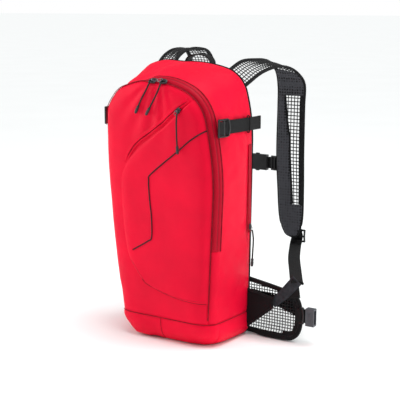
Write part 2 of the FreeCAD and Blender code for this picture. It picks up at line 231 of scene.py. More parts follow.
def webbing_cloth(name, colour, rib_mm=1.5, rough=0.62):
    """Ribbed polyester tape: cross ribs along its length, fine threads across."""
    m = Nodes(name, rough, Sheen_Weight=0.03, Sheen_Roughness=0.4, Specular_IOR_Level=0.2)
    m.mottle(m.noise(160.0, 4.0), (0.3, mixed(colour, 0.7)), (0.7, mixed(colour, 1.5)))
    m.bump(m.wave(rib_mm, "X"), 0.0003)
    m.bump(m.wave(0.8, "Y"), 0.00012)
    return m.material


def spacer_cloth(name, colour, cell_mm):
    """Spacer mesh: a knit of small round holes over foam. The holes are painted near black and the knit
    between them lighter: painted shade in the holes.
    """
    m = Nodes(name, 0.8, Sheen_Weight=0.08, Sheen_Roughness=0.5, Specular_IOR_Level=0.3)
    cells = m.node("TexVoronoi", feature="F1")
    cells.inputs["Scale"].default_value = 1 / (cell_mm * MM)
    cells.inputs["Randomness"].default_value = 0.15
    m.link(m.place.outputs["Object"], cells.inputs["Vector"])
    # Painted shade: each hole is darkened towards its middle, and the knit between the holes is lightened.
    m.mottle(cells.outputs["Distance"], (0.22, mixed(colour, 0.1)), (0.48, mixed(colour, 7.0)))
    m.bump(cells.outputs["Distance"], 0.0009)
    m.bump(m.noise(420.0, 2.0), 0.0002)
    return m.material


def net_cord(name, colour):
    """The twisted thread that the open net is knitted from."""
    m = Nodes(name, 0.6, Sheen_Weight=0.06, Sheen_Roughness=0.4, Specular_IOR_Level=0.3)
    m.mottle(m.noise(240.0), (0.3, mixed(colour, 0.6)), (0.7, mixed(colour, 1.8)))
    m.bump(m.noise(1500.0, 2.0), 0.0002)
    return m.material


def moulded(name, colour, rough, **shader):
    """Moulded plastic or rubber with a fine spark-eroded grain and worn, shinier spots."""
    m = Nodes(name, rough, **shader)
    m.mottle(m.noise(60.0, 4.0), (0.35, mixed(colour, 0.85)), (0.7, mixed(colour, 1.2)))
    m.bump(m.noise(2600.0, 2.0), 0.00005)
    m.uneven_gloss(90.0, rough - 0.08, rough + 0.1)
    return m.material


def braided(name, colour):
    """The pull cords' sleeve, with strands that run slantwise. The grooves between the strands are painted
    darker than their crests: painted shade that follows the bump.
    """
    m = Nodes(name, 0.65, Sheen_Weight=0.04, Specular_IOR_Level=0.3)
    # Painted shade: the bands that sink the strands' grooves also darken their colour there.
    m.mottle(m.wave(1.6, "DIAGONAL", coords="Object"), (0.2, mixed(colour, 0.5)), (0.8, mixed(colour, 1.9)))
    m.bump(m.wave(1.6, "DIAGONAL", coords="Object"), 0.0003)
    return m.material


RED = (0.84, 0.0015, 0.032)
red_nylon = nylon("red_nylon", RED, 0.46, 0.9, 0.00008)
red_base = nylon("red_base_nylon", mixed(RED, 1.02), 0.5, 1.4, 0.00016)
# The zip band's cloth, also used for the side zip's tapes, is the same red darkened: painted shade where the
# band turns away, so that it reads as a darker band.
shaded_red_band = nylon("red_zip_band", mixed(RED, 0.58), 0.42, 0.8, 0.00005, crease=0.0002)
lining = nylon("grey_lining", (0.30, 0.31, 0.33), 0.6, 0.8, 0.00006, tint=(1, 1, 1))
dark_piping = webbing_cloth("dark_piping", (0.04, 0.006, 0.012), rib_mm=1.0, rough=0.5)
stitch_red = webbing_cloth("red_thread", mixed(RED, 0.62), rib_mm=0.6)
# A dark red for thin lines laid along seams: painted shade in the seams' grooves.
painted_seam_shade = webbing_cloth("painted_seam_shade", (0.30, 0.002, 0.014), rib_mm=1.0)
stitch_black = webbing_cloth("black_thread", (0.035, 0.035, 0.038), rib_mm=0.6)
black_webbing = webbing_cloth("black_webbing", (0.006, 0.006, 0.0065))
grey_webbing = webbing_cloth("worn_webbing", (0.028, 0.032, 0.038))
black_binding = webbing_cloth("black_binding", (0.007, 0.007, 0.008), rib_mm=0.9, rough=0.7)
black_fabric = nylon("black_fabric", (0.008, 0.008, 0.009), 0.6, 1.0, 0.0001, sheen=0.06, tint=(1, 1, 1))
black_net = net_cord("black_net", (0.007, 0.007, 0.008))
spacer = spacer_cloth("spacer_mesh", (0.009, 0.009, 0.0105), cell_mm=4.6)
black_plastic = moulded("black_plastic", (0.010, 0.010, 0.011), 0.38)
grey_plastic = moulded("grey_plastic", (0.065, 0.07, 0.082), 0.42)
sheet_plastic = moulded("sheet_plastic", (0.78, 0.78, 0.75), 0.5)
enamel = moulded("slider_enamel", (0.05, 0.05, 0.053), 0.28, Metallic=0.55)
steel = moulded("ring_steel", (0.16, 0.16, 0.17), 0.3, Metallic=1.0)
pull_braid = braided("pull_braid", (0.012, 0.011, 0.012))
pull_rubber = moulded("pull_rubber", (0.02, 0.02, 0.022), 0.5)
coil_nylon = moulded("coil_nylon", (0.08, 0.004, 0.012), 0.5)

FLOOR_SIZE = 80.0
floor_nodes = Nodes("studio_floor", 0.75)
floor_nodes.mottle(floor_nodes.noise(3.0), (0.3, (0.93, 0.95, 0.95)), (0.7, (0.95, 0.97, 0.97)))
floor_nodes.bump(floor_nodes.noise(300.0), 0.0001)
bpy.ops.mesh.primitive_plane_add(size=FLOOR_SIZE)
floor = bpy.context.object
floor.name = "studio_floor"
floor.data.materials.append(floor_nodes.material)


# ---- the pull cords ----
CORD_DIAMETER = 2.4
MAIN_CORD_RIGHT = [(10, -57.6, 394.5), (9, -61, 387), (5, -62.6, 377), (-1, -63.2, 366.5), (-7, -63.4, 356.5)]
MAIN_CORD_LEFT = [(-10, -57.6, 394.5), (-12, -60.6, 387), (-17, -61.4, 378), (-23, -61.6, 368.5),
                  (-28, -61.8, 358.5)]
POCKET_CORD = [(42.8, -65.4, 351.5), (42.6, -67.2, 340), (43.2, -67.4, 328), (43.2, -67.2, 316),
               (43.9, -67.0, 304.5)]
SIDE_CORD = [(110.3, 38, 169), (112, 38.6, 159), (111.2, 40, 148), (109.8, 41, 136), (109, 41.4, 123)]
# The moulded end's radius in mm, by the share of its length from the cord.
END_PROFILE = [(0, 1.4), (0.03, 2.0), (0.12, 2.3), (0.2, 1.75), (0.26, 2.25), (0.34, 1.75), (0.4, 2.25),
               (0.5, 2.3), (0.8, 2.15), (0.93, 1.6), (1, 0.5)]


def joined(parts):
    """One (points, faces, uvs) part from several."""
    points, faces, uvs, start = [], [], [], 0
    for p, f, uv in parts:
        points.append(np.asarray(p, float))
        uvs.append(np.asarray(uv, float))
        faces += [tuple(i + start for i in face) for face in f]
        start += len(p)
    return np.vstack(points), faces, np.vstack(uvs)


def piece(name, parts, material, body=None, nodes=(), smooth=True):
    """One Blender object from parts in mm. It rides on a body when one is given."""
    points, faces, uvs = joined(parts)
    mesh = bpy.data.meshes.new(name)
    mesh.from_pydata([tuple(p) for p in points * MM], [], faces)
    layer = mesh.uv_layers.new(name="weave")
    corners = np.zeros(len(mesh.loops), np.int32)
    mesh.loops.foreach_get("vertex_index", corners)
    layer.data.foreach_set("uv", (uvs[corners] * MM).astype(np.float32).ravel())
    mesh.polygons.foreach_set("use_smooth", [smooth] * len(mesh.polygons))
    mesh.materials.append(material)
    mesh.validate()
    obj = bpy.data.objects.new(name, mesh)
    scene.collection.objects.link(obj)
    return assign(obj, body, nodes)


def assign(obj, body=None, nodes=()):
    if body:
        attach(obj, body)
    if nodes:
        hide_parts(*nodes)
    return obj


def unit(v):
    v = np.asarray(v, float)
    return v / np.maximum(np.linalg.norm(v, axis=-1, keepdims=True), 1e-9)


def lengths(path):
    """Distance along a path, at each of its points."""
    return np.concatenate([[0.0], np.cumsum(np.linalg.norm(np.diff(path, axis=0), axis=1))])


def grid(rows, close=False):
    """Quads over rows of points, with uvs measured along the middle row and column."""
    rows = np.asarray(rows, float)
    count, width = rows.shape[:2]
    u = lengths(rows[:, width // 2])
    v = lengths(rows[count // 2])
    uvs = np.stack(np.broadcast_arrays(u[:, None], v[None, :]), axis=-1).reshape(-1, 2)
    faces = []
    last = width if close else width - 1
    for i in range(count - 1):
        for j in range(last):
            k = (j + 1) % width
            faces.append((i * width + j, i * width + k, (i + 1) * width + k, (i + 1) * width + j))
    return rows.reshape(-1, 3), faces, uvs


def smooth_path(points, steps=8):
    """A Catmull-Rom curve through the points; any columns are carried along."""
    p = np.asarray(points, float)
    ends = np.vstack([2 * p[0] - p[1], p, 2 * p[-1] - p[-2]])
    t = np.linspace(0, 1, steps, endpoint=False)[:, None]
    out = []
    for a, b, c, d in zip(ends, ends[1:], ends[2:], ends[3:]):
        square, cube = 2 * a - 5 * b + 4 * c - d, 3 * b - a - 3 * c + d
        out.append(0.5 * (2 * b + (c - a) * t + square * t ** 2 + cube * t ** 3))
    return np.vstack(out + [p[-1:]])


def even_path(path, step, dims=3):
    """The same path with points about step apart. Distance is measured over the first dims columns."""
    path = np.asarray(path, float)
    along = lengths(path[:, :dims])
    count = max(2, int(round(along[-1] / step)) + 1)
    wanted = np.linspace(0, along[-1], count)
    return np.stack([np.interp(wanted, along, column) for column in path.T], axis=1)


def tangents(path):
    return unit(np.gradient(np.asarray(path, float), axis=0))


def circle(radius, sides=8):
    """A round section as (share of the half width, offset across, height)."""
    turn = np.linspace(0, 2 * math.pi, sides, endpoint=False)
    return np.stack([np.zeros(sides), radius * np.cos(turn), radius * np.sin(turn)], axis=1)


def tape(thick, edge=0.7):
    """A flat section with rounded edges and a slight crown."""
    h = thick / 2
    top = [(-1, 0, h * 0.3), (-1, edge * 0.4, h * 0.85), (-1, edge, h), (-0.5, 0, h * 1.08), (0, 0, h * 1.12),
           (0.5, 0, h * 1.08), (1, -edge, h), (1, -edge * 0.4, h * 0.85), (1, 0, h * 0.3)]
    return np.array(top + [(w, e, -z) for w, e, z in reversed(top)], float)


def capped(rows):
    """A closed sleeve of quads over rows of points, with a cap at each end."""
    points, faces, uvs = grid(rows, close=True)
    n = rows.shape[1]
    caps = [tuple(range(n)), tuple(reversed(range(len(points) - n, len(points))))]
    return points, faces + caps, uvs


def sweep(path, section, up, halfs=0.0, caps=True, scale=None):
    """A closed section carried along a path. up is one direction or one for each point."""
    path = np.asarray(path, float)
    along = tangents(path)
    up = np.broadcast_to(np.asarray(up, float), path.shape)
    across = unit(np.cross(along, up))
    up = np.cross(across, along)
    halfs = np.broadcast_to(np.asarray(halfs, float), (len(path),))
    scale = np.ones(len(path)) if scale is None else np.asarray(scale, float)
    out = section[None, :, 0] * halfs[:, None] + section[None, :, 1] * scale[:, None]
    high = section[None, :, 2] * scale[:, None]
    rows = path[:, None] + out[..., None] * across[:, None] + high[..., None] * up[:, None]
    return capped(rows) if caps else grid(rows, close=True)


def free_up(path):
    """A direction for each point that is never along the path, carried without twist."""
    along = tangents(path)
    ups = []
    last = np.array([0.3, -1.0, 0.2])
    for t in along:
        last = unit(last - t * np.dot(last, t))
        ups.append(last)
    return np.array(ups)


def tube(path, radius, sides=8, scale=None):
    """A round rod along a path."""
    return sweep(path, circle(radius, sides), free_up(path), scale=scale)


def pull_cord(name, route, body, end_length):
    """A pull cord on its NURBS route, and the moulded end that closes it."""
    curve = bpy.data.curves.new(name, "CURVE")
    curve.dimensions = "3D"
    spline = curve.splines.new("NURBS")
    spline.points.add(len(route) - 1)
    for point, place in zip(spline.points, route):
        point.co = (place[0] * MM, place[1] * MM, place[2] * MM, 1)
    spline.order_u = 3
    spline.use_endpoint_u = True
    curve.resolution_u = 16
    curve.bevel_depth = CORD_DIAMETER / 2 * MM
    curve.bevel_resolution = 4
    curve.use_fill_caps = True
    curve.materials.append(pull_braid)
    obj = bpy.data.objects.new(f"{name}_braid", curve)
    scene.collection.objects.link(obj)
    assign(obj, body, [name])
    last = np.array(route[-1], float)
    along = unit(last - np.array(route[-2], float))
    path = np.array([last + along * (end_length * t - 0.3) for t, _ in END_PROFILE])
    end = piece(f"{name}_end_moulding", [tube(path, 1.0, 14, scale=[r for _, r in END_PROFILE])], pull_rubber,
                body, [name.replace("cord", "cord_end", 1)])


pull_cord("main_cord_right", MAIN_CORD_RIGHT, "main_pull_right", 13.0)
pull_cord("main_cord_left", MAIN_CORD_LEFT, "main_pull_left", 13.0)
pull_cord("pocket_cord", POCKET_CORD, "pocket_pull", 12.0)
pull_cord("side_cord", SIDE_CORD, "side_pull", 13.0)


# ---- outlines of the bag ----
def line(a, b, count):
    t = np.arange(1, count + 1)[:, None] / count
    return np.asarray(a) + (np.asarray(b) - np.asarray(a)) * t


def arc(a, b, c, count):
    """count points after a, on the circle from a through b to c."""
    (ax, az), (bx, bz), (cx, cz) = a, b, c
    d = 2 * (ax * (bz - cz) + bx * (cz - az) + cx * (az - bz))
    sa, sb, sc = ax * ax + az * az, bx * bx + bz * bz, cx * cx + cz * cz
    ux = (sa * (bz - cz) + sb * (cz - az) + sc * (az - bz)) / d
    uz = (sa * (cx - bx) + sb * (ax - cx) + sc * (bx - ax)) / d
    start = math.atan2(az - uz, ax - ux)
    middle = (math.atan2(bz - uz, bx - ux) - start + math.pi) % (2 * math.pi) - math.pi
    turn = (math.atan2(cz - uz, cx - ux) - start) % (2 * math.pi)
    if middle < 0:
        turn -= 2 * math.pi
    angles = start + turn * np.arange(1, count + 1) / count
    radius = math.hypot(ax - ux, az - uz)
    return np.stack([ux + radius * np.cos(angles), uz + radius * np.sin(angles)], axis=1)


def inset_outline(half, inset):
    """The half outline moved inwards along its own normals."""
    last = len(half) - 1
    moved = []
    for i, (x, z) in enumerate(half):
        before = half[i - 1] if i else (-half[1][0], half[1][1])
        after = half[i + 1] if i < last else (-half[last - 1][0], half[last - 1][1])
        run, rise = after[0] - before[0], after[1] - before[1]
        length = math.hypot(run, rise)
        moved.append((x - inset * rise / length, z + inset * run / length))
    return moved


def ring(half, inset=0.0):
    """The whole outline as a closed loop of (x, z), from the middle of the base up the +X side and round."""
    p = inset_outline(half, inset)
    a, b, c, d, e, f = EDGE_STEPS
    crown = arc(p[8], p[9], (-p[8][0], p[8][1]), 2 * f)[:f]
    right = np.vstack([[p[0]], line(p[0], p[1], a), arc(p[1], p[2], p[3], b), line(p[3], p[4], c),
                       arc(p[4], p[5], p[6], d), arc(p[6], p[7], p[8], e), crown])
    left = right[-2:0:-1] * (-1, 1)
    return np.vstack([right, left])


def outward(loop):
    """Unit normals of a loop that runs up the +X side."""
    run = np.roll(loop, -1, axis=0) - np.roll(loop, 1, axis=0)
    return unit(np.stack([run[:, 1], -run[:, 0]], axis=1))


def edge_distance(x, z, loop):
    """Distance of points in the XZ plane from a closed loop."""
    points = np.stack([np.ravel(x), np.ravel(z)], axis=1)
    run = np.roll(loop, -1, axis=0) - loop
    size = np.maximum((run ** 2).sum(axis=1), 1e-9)
    best = np.full(len(points), 1e9)
    for start, step, square in zip(loop, run, size):
        t = np.clip(((points - start) @ step) / square, 0, 1)
        best = np.minimum(best, np.linalg.norm(points - start - t[:, None] * step, axis=1))
    return best.reshape(np.shape(x))


def fade(value, low, high):
    """0 below low, 1 above high, smooth in between. low may be the larger one."""
    t = np.clip((np.asarray(value, float) - low) / (high - low), 0, 1)
    return t * t * (3 - 2 * t)


def crown_share(edge, reach):
    """How full a pad is at a distance from its edge: a quarter round, from 0 to 1 at reach."""
    return np.sqrt(1 - (1 - np.clip(edge / reach, 0, 1)) ** 2)


def at_depth(loop, y):
    """A loop or path of (x, z) as 3-D points at a depth, which is one number or one for each point."""
    depth = np.broadcast_to(np.asarray(y, float), loop.shape[:-1])
    return np.stack([loop[..., 0], depth, loop[..., 1]], axis=-1)


def rumple(points, scale, seed):
    """Smooth noise in -1..1 at points in mm, with features about scale mm across."""
    shift = Vector((seed * 17.3, seed * 5.1, seed * 11.7))
    flat = np.asarray(points, float).reshape(-1, 3)
    values = [noise.noise(Vector(p / scale) + shift) for p in flat]
    return np.array(values).reshape(np.shape(points)[:-1])


# The filled bag leans: its left half is this share of the pattern's width, as (height, share), at the front
# seam and at the back.
LEAN_FRONT = np.array([(0, 0.60), (4, 0.63), (8, 0.655), (23, 0.72), (39, 0.75), (71, 0.785), (87, 0.82),
                       (118, 0.855), (150, 0.879), (182, 0.899), (213, 0.908), (245, 0.928), (276, 0.962),
                       (307, 1.007), (338, 1.08), (353, 1.12), (369, 1.13), (385, 1.2), (393, 1.15),
                       (402, 1.05)])
LEAN_BACK = np.array([(0, 1.0), (340, 1.0), (365, 1.04), (385, 1.10), (400, 1.18), (412, 1.24), (420, 1.2)])
CROWN_LIFT = 5.5


def leaned(loop, back=0.0):
    """A loop with its left half drawn in or let out. back is 0 at the front seam and 1 at the rear."""
    front_share = np.interp(loop[:, 1], *LEAN_FRONT.T)
    back_share = np.interp(loop[:, 1], *LEAN_BACK.T)
    share = front_share * (1 - back) + back_share * back
    x = np.where(loop[:, 0] < 0, loop[:, 0] * share, loop[:, 0])
    crown = CROWN_LIFT * back * fade(-loop[:, 0], 12, 46) * fade(loop[:, 1], 380, 412)
    return np.stack([x, loop[:, 1] + crown], axis=1)


# On the left the front is filled out over its zip band, so that the band turns edge-on there.
LEFT_INSET = 3.5


def seam_ring(inset):
    """The front seam's loop moved inwards; all of the band's loops run together on the left."""
    loop = ring(SEAM_OUTLINE)
    left = fade(loop[:, 0], -8, -30)
    return loop - outward(loop) * (inset * (1 - left) + LEFT_INSET * left)[:, None]


RIM_LOOP = leaned(seam_ring(RIM_INSET))
# The front face's rows run in from the rim to the nearest of these heights on its upright middle line.
SPINE_Z = np.linspace(78.0, 322.0, 50)
RISE_REACH = 8.5


def front_y(x, z):
    """Depth of the front face: it rises off the rim seam into a soft, slightly rumpled face."""
    d = edge_distance(x, z, RIM_LOOP)
    y = RIM_Y - FACE_RISE * (1 - np.exp(-d / RISE_REACH))
    inside = fade(d, 0, 22)
    spots = np.stack([x, np.zeros_like(x), z], axis=-1)
    stretched = spots * (1.0, 1.0, 0.45)
    y = y - inside * rumple(spots, 70.0, 3) - inside * 0.55 * rumple(stretched, 26.0, 5)
    fan = np.arctan2(x - 6, 415 - z)
    strength = fade(z, 292, 345) * fade(d, 2, 16) * fade(np.abs(x + 18), 62, 12)
    return y - strength * 1.15 * np.cos(fan * 21.0 + 0.6)


# ---- the sewn shell: one surface, cut along its seams ----
# The base's middle seam is at SEAM_X, and its front corners lie CORNER_SHIFT further back than its middle.
SEAM_X = 6.0
CORNER_SHIFT = 7.0
FACE_ROWS = 26
BAND_YS = [-49.2, -48.2, -46.6, -45.0, -44.4, -44.0, -43.6, -43.0, -41.0, -38.8, -37.8, -37.0]
GUSSET_YS = [-36.2, -35.0, -33.0, -30.0, -26.5, *np.arange(-23.0, 33.5, 4.0), 36.5, 39.5, 42.0, 44.0, 45.2,
             46.0]
SIDE_SWELL = 2.6
STRAP_Z = 331.0


def band_loop(y):
    """The zip band's loop at a depth: it draws in from the front seam towards the rim."""
    share = (SEAM_Y - y) / (SEAM_Y - RIM_Y) * 0.65
    return leaned(seam_ring(FACE_INSET * share ** 2.2))


def gusset_ring(y):
    """The shell's loop at a depth behind the front seam, swollen and creased as soft cloth."""
    t = (y - SEAM_Y) / (BACK_Y - SEAM_Y)
    front, back = seam_ring(0.0), ring(BACK_OUTLINE)
    near_base = fade(front[:, 1], 75, 15) * fade(front[:, 0], -20, 20)
    share = (t + (t ** 0.4 - t) * near_base)[:, None]
    loop = leaned(front * (1 - share) + back * share, t)
    normal = outward(loop)
    x, z = loop[:, 0], loop[:, 1]
    spots = np.stack([x, np.full_like(x, y), z], axis=1)
    belly = math.sin(math.pi * min(1.0, max(0.0, t))) ** 0.8
    crumple = 1.9 * rumple(spots * (1, 1, 0.6), 44.0, 1) + 1.1 * rumple(spots * (1, 0.8, 1), 17.0, 2)
    pull = np.exp(-((z - STRAP_Z) / 9.0) ** 2) * fade(y, -42, -26)
    folds = np.cos((y + 3) * 2 * math.pi / 21.0 + z * 0.02)
    near = np.exp(-np.abs(z - STRAP_Z - 2) / 24.0) * fade(np.abs(x), 60, 88)
    held = fade(z, 4, 60) * fade(t, 0.0, 0.12) * fade(t, 1.0, 0.9)
    by_side_zip = fade(y, 22, 34) * fade(x, 60, 90) * fade(z, 145, 165) * fade(z, 320, 300)
    held = held * (1 - 0.9 * by_side_zip)
    strapped = pull * 2.6 * fade(np.abs(x), 70, 88)
    rise = held * (SIDE_SWELL * belly + crumple + near * 1.3 * folds - strapped)
    return loop + normal * rise[:, None]


def shell_rows():
    """Rows of points from the middle of the front face, over the rim and back to the wearer's side."""
    nearest = np.abs(RIM_LOOP[:, 1][:, None] - SPINE_Z[None, :]).argmin(axis=1)
    spine = np.stack([np.zeros(len(RIM_LOOP)), SPINE_Z[nearest]], axis=1)
    rows = []
    for share in np.linspace(0, 1, FACE_ROWS) ** 0.85:
        flat = spine + (RIM_LOOP - spine) * share
        rows.append(at_depth(flat, front_y(flat[:, 0], flat[:, 1]) if share < 1 else RIM_Y))
    rows += [at_depth(band_loop(y), y) for y in BAND_YS] + [at_depth(gusset_ring(y), y) for y in GUSSET_YS]
    rows = np.array(rows)
    x, y, z = rows[..., 0], rows[..., 1], rows[..., 2]
    corner = fade(np.abs(x - SEAM_X), 34, 82) * fade(z, 34, 3) * fade(y, -5, -36)
    rows[..., 1] = y + CORNER_SHIFT * corner
    return rows


# The weave's depth is measured along this column of the rows, half way up the right side.
UV_COLUMN = 60


def shell_mesh():
    """The whole shell as one welded bmesh in mm, split along its level seams."""
    rows = shell_rows()
    points, faces, uvs = grid(rows, close=True)
    around = np.tile(lengths(rows[FACE_ROWS - 1]), len(rows))
    back = np.repeat(lengths(rows[:, UV_COLUMN]), rows.shape[1])
    uvs = np.stack([around, back], axis=1)
    on_face = np.arange(len(points)) < FACE_ROWS * rows.shape[1]
    uvs[on_face] = points[on_face][:, (0, 2)]
    mesh = bpy.data.meshes.new("shell_surface")
    mesh.from_pydata([tuple(p) for p in points], [], faces)
    work = bmesh.new()
    work.from_mesh(mesh)
    bpy.data.meshes.remove(mesh)
    layer = work.loops.layers.uv.new("weave")
    work.verts.ensure_lookup_table()
    for face in work.faces:
        for corner in face.loops:
            corner[layer].uv = uvs[corner.vert.index] * MM
    bmesh.ops.remove_doubles(work, verts=work.verts, dist=0.02)
    bmesh.ops.dissolve_degenerate(work, edges=work.edges, dist=0.01)
    for z in (BASE_SEAM_Z, HINGE_Z):
        for offset in (-3.0, -1.2, 0.0, 1.2, 3.0):
            everything = list(work.verts) + list(work.edges) + list(work.faces)
            bmesh.ops.bisect_plane(work, geom=everything, dist=0.02, plane_co=(0, 0, z + offset),
                                   plane_no=(0, 0, 1))
    bmesh.ops.recalc_face_normals(work, faces=work.faces)
    return work


SHELL = shell_mesh()


def shell_piece(name, keep, material, nodes, body=None, depth=1.0, reach=2.0):
    """A panel of the shell: the faces whose middle passes keep, with its edges turned in at the seams."""
    work = SHELL.copy()
    bmesh.ops.delete(work, geom=[f for f in work.faces if not keep(f.calc_center_median())], context="FACES")
    work.normal_update()
    edge = np.array([v.co[:] for v in work.verts if v.is_boundary])
    moves = []
    for v in work.verts:
        near = np.min(((edge - np.array(v.co[:])) ** 2).sum(axis=1))
        if near < (4 * reach) ** 2:
            moves.append((v, -v.normal * depth * math.exp(-near / reach ** 2)))
    for v, move in moves:
        v.co += move
        v.co.z = max(v.co.z, 0.05)
    bmesh.ops.scale(work, vec=(MM, MM, MM), verts=work.verts)
    mesh = bpy.data.meshes.new(name)
    work.to_mesh(mesh)
    work.free()
    mesh.polygons.foreach_set("use_smooth", [True] * len(mesh.polygons))
    mesh.materials.append(material)
    mesh.materials.append(lining)
    obj = bpy.data.objects.new(name, mesh)
    scene.collection.objects.link(obj)
    thick = obj.modifiers.new("cloth_thickness", "SOLIDIFY")
    thick.thickness = WALL * MM
    thick.offset = -1.0
    thick.material_offset = 1
    thick.material_offset_rim = 0
    return assign(obj, body, nodes)


def bake_modifiers(obj):
    """Applies the piece's modifiers, so that its mesh is final."""
    graph = bpy.context.evaluated_depsgraph_get()
    mesh = bpy.data.meshes.new_from_object(obj.evaluated_get(graph))
    obj.modifiers.clear()
    obj.data = mesh


def follow_door(obj):
    """Cloth that crosses the fold line at the foot of the door."""
    bake_modifiers(obj)
    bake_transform(obj)


follow_door(shell_piece("front_skin", lambda c: c.y < RIM_Y and c.z > BASE_SEAM_Z, red_nylon,
                        ["door_panel", "front_lower_panel"]))
follow_door(shell_piece("zip_band_inner", lambda c: RIM_Y < c.y < BAND_MID_Y and c.z > HINGE_Z, shaded_red_band,
                        ["main_zip_tape_inner"], depth=0.8, reach=1.2))
shell_piece("zip_band_outer", lambda c: BAND_MID_Y < c.y < SEAM_Y and c.z > HINGE_Z, shaded_red_band,
            ["main_zip_tape_outer"], "pack", depth=0.8, reach=1.2)
shell_piece("gusset", lambda c: c.z > BASE_SEAM_Z and (c.y > SEAM_Y or (c.y > RIM_Y and c.z < HINGE_Z)),
            red_nylon, ["side_panel_left", "side_panel_right", "top_panel"], "pack")
shell_piece("base_skin", lambda c: c.z < BASE_SEAM_Z, red_base, ["bottom_panel"], "pack")


# ---- seams: stitches, the main zip's coil and thin dark lines of painted seam shade ----
STITCH_LENGTH = 2.3
THREAD_RADIUS = 0.28
SEAM_SHADE_RADIUS = 0.45


def stitches(path, normals, pitch=3.4):
    """A row of short thread loops that stand on a surface along a path."""
    both = even_path(np.hstack([path, np.broadcast_to(normals, path.shape)]), pitch)
    parts = []
    for a, b in zip(both, both[1:]):
        mid, up = (a[:3] + b[:3]) / 2, unit(a[3:] + b[3:])
        half = unit(b[:3] - a[:3]) * STITCH_LENGTH / 2
        ends = [mid - half - up * 0.25, mid - half * 0.7 + up * 0.15, mid + half * 0.7 + up * 0.15,
                mid + half - up * 0.25]
        parts.append(sweep(np.array(ends), circle(THREAD_RADIUS, 5), up))
    return parts


def band_line(y, low=HINGE_Z):
    """The line round the front at a depth, above low, from the +X side over the top, with its normals."""
    loop = band_loop(y)
    flat = outward(loop)
    keep = loop[:, 1] > low
    first = int(np.argmax(keep))
    last = len(keep) - int(np.argmax(keep[::-1]))
    lean = 0.35 + 0.325 * (SEAM_Y - y) / (SEAM_Y - RIM_Y)
    return at_depth(loop[first:last], y), unit(at_depth(flat[first:last], -lean))


# A tooth's points as (distance towards the zip's middle, depth under the tape's face).
TOOTH = ((-1.5, 1.3), (-0.6, 0.9), (0.2, 1.1))
TOOTH_RADIUS = 0.45
MAIN_PITCH = 2.0
SMALL_PITCH = 1.8


def teeth(path, normals, side, pitch=MAIN_PITCH):
    """One side of a coil zip: a row of small round teeth that lean towards the zip's middle."""
    both = even_path(np.hstack([path, np.broadcast_to(normals, path.shape)]), pitch)
    along = tangents(both[:, :3])
    parts = []
    for p, t in zip(both, along):
        up = unit(p[3:])
        across = unit(np.cross(t, up)) * side
        ends = np.array([p[:3] + across * x - up * h for x, h in TOOTH])
        parts.append(sweep(ends, circle(TOOTH_RADIUS, 5), up))
    return parts


def both_teeth(path, normals, pitch):
    """Both sides of a closed coil zip."""
    return teeth(path, normals, 1, pitch) + teeth(path, normals, -1, pitch)


def seam_shade_line(path, normals):
    """A thin dark line along a seam: painted shade in the seam's groove."""
    return sweep(path, tape(0.9, 0.4), normals, halfs=0.75)


zip_line = band_line(BAND_MID_Y, low=HINGE_Z + 4)
follow_door(piece("zip_coil_inner", teeth(*zip_line, 1), coil_nylon))
piece("zip_coil_outer", teeth(*zip_line, -1), coil_nylon, "pack")
# A thin dark line along the door's rim: painted shade in the seam's groove. On the left the front hangs over
# its zip band, so the door's edge and this line show only on the right and over the top.
LEFT_EDGE_LOW = 325.0
rim_path, rim_normals = band_line(RIM_Y, low=BASE_SEAM_Z + 1)
shown = (rim_path[:, 0] > 0) | (rim_path[:, 2] > LEFT_EDGE_LOW)
follow_door(piece("door_edge_shade_line", [seam_shade_line(rim_path[shown] + (0, -0.9, 0), rim_normals[shown])],
                  painted_seam_shade))
# A thin dark line along the band's outer seam: painted shade in that seam's groove.
outer_path, outer_normals = band_line(SEAM_Y - 0.3)
shown = outer_path[:, 0] > -20
piece("band_edge_shade_line", [seam_shade_line(outer_path[shown], outer_normals[shown])], painted_seam_shade, "pack")
door_stitches, band_stitches = (stitches(*band_line(y, low=HINGE_Z + 2)) for y in (-48.0, -38.9))
follow_door(piece("door_stitching", door_stitches, stitch_red))
piece("band_stitching", band_stitches, stitch_red, "pack")


# ---- the front pocket, its zip and the piping ----
# The pocket's cloth is cut wider than the front, and it is sewn into the door's seam all down the right.
POCKET = [(74, 381), (40.7, 351), (9.7, 325.5), (-27.3, 300), (-49, 279), (-62, 256), (-64, 231),
          (-61, 173), (-52, 128), (-34, 102), (-15.8, 86.1), (13.9, 77.5), (39.5, 72.8), (68.2, 70.6),
          (112, 69), (118, 160), (118, 300), (100, 370)]
POCKET_RISE = 3.0
PIPING = [(85, 328.5), (61.5, 312.8), (39.6, 295.1), (-6.1, 259.3), (-11.1, 248), (-9.3, 217.7), (-6.8, 195),
          (-6.5, 163), (-12.3, 156.4), (-41.6, 138.8)]


def rounded_loop(corners, steps=6):
    """A closed loop that rounds its corners a little."""
    p = np.asarray(corners, float)
    before, after = np.roll(p, 1, axis=0), np.roll(p, -1, axis=0)
    share = np.linspace(0, 1, steps)[:, None]
    out = []
    for a, b, c in zip(before, p, after):
        start, end = b + (a - b) * 0.3, b + (c - b) * 0.3
        out.append((1 - share) ** 2 * start + 2 * share * (1 - share) * b + share ** 2 * end)
    return np.vstack(out)


POCKET_LOOP = rounded_loop(POCKET)


def pocket_height(x, z):
    """How far the pocket's cloth stands off the face: soft on the left, a crisp seam at the foot."""
    d = edge_distance(x, z, POCKET_LOOP)
    reach = 4.0 + 11.0 * fade(x, 2, -34) * fade(z, 96, 140)
    return POCKET_RISE * crown_share(d, reach) * fade(edge_distance(x, z, RIM_LOOP), 0, 12)


def pocket_y(x, z):
    """Depth of the front with the pocket on it."""
    spots = np.stack([x, np.zeros_like(x), z], axis=-1)
    d = edge_distance(x, z, POCKET_LOOP)
    return front_y(x, z) - pocket_height(x, z) - fade(d, 0, 30) * 0.6 * rumple(spots, 46.0, 8)


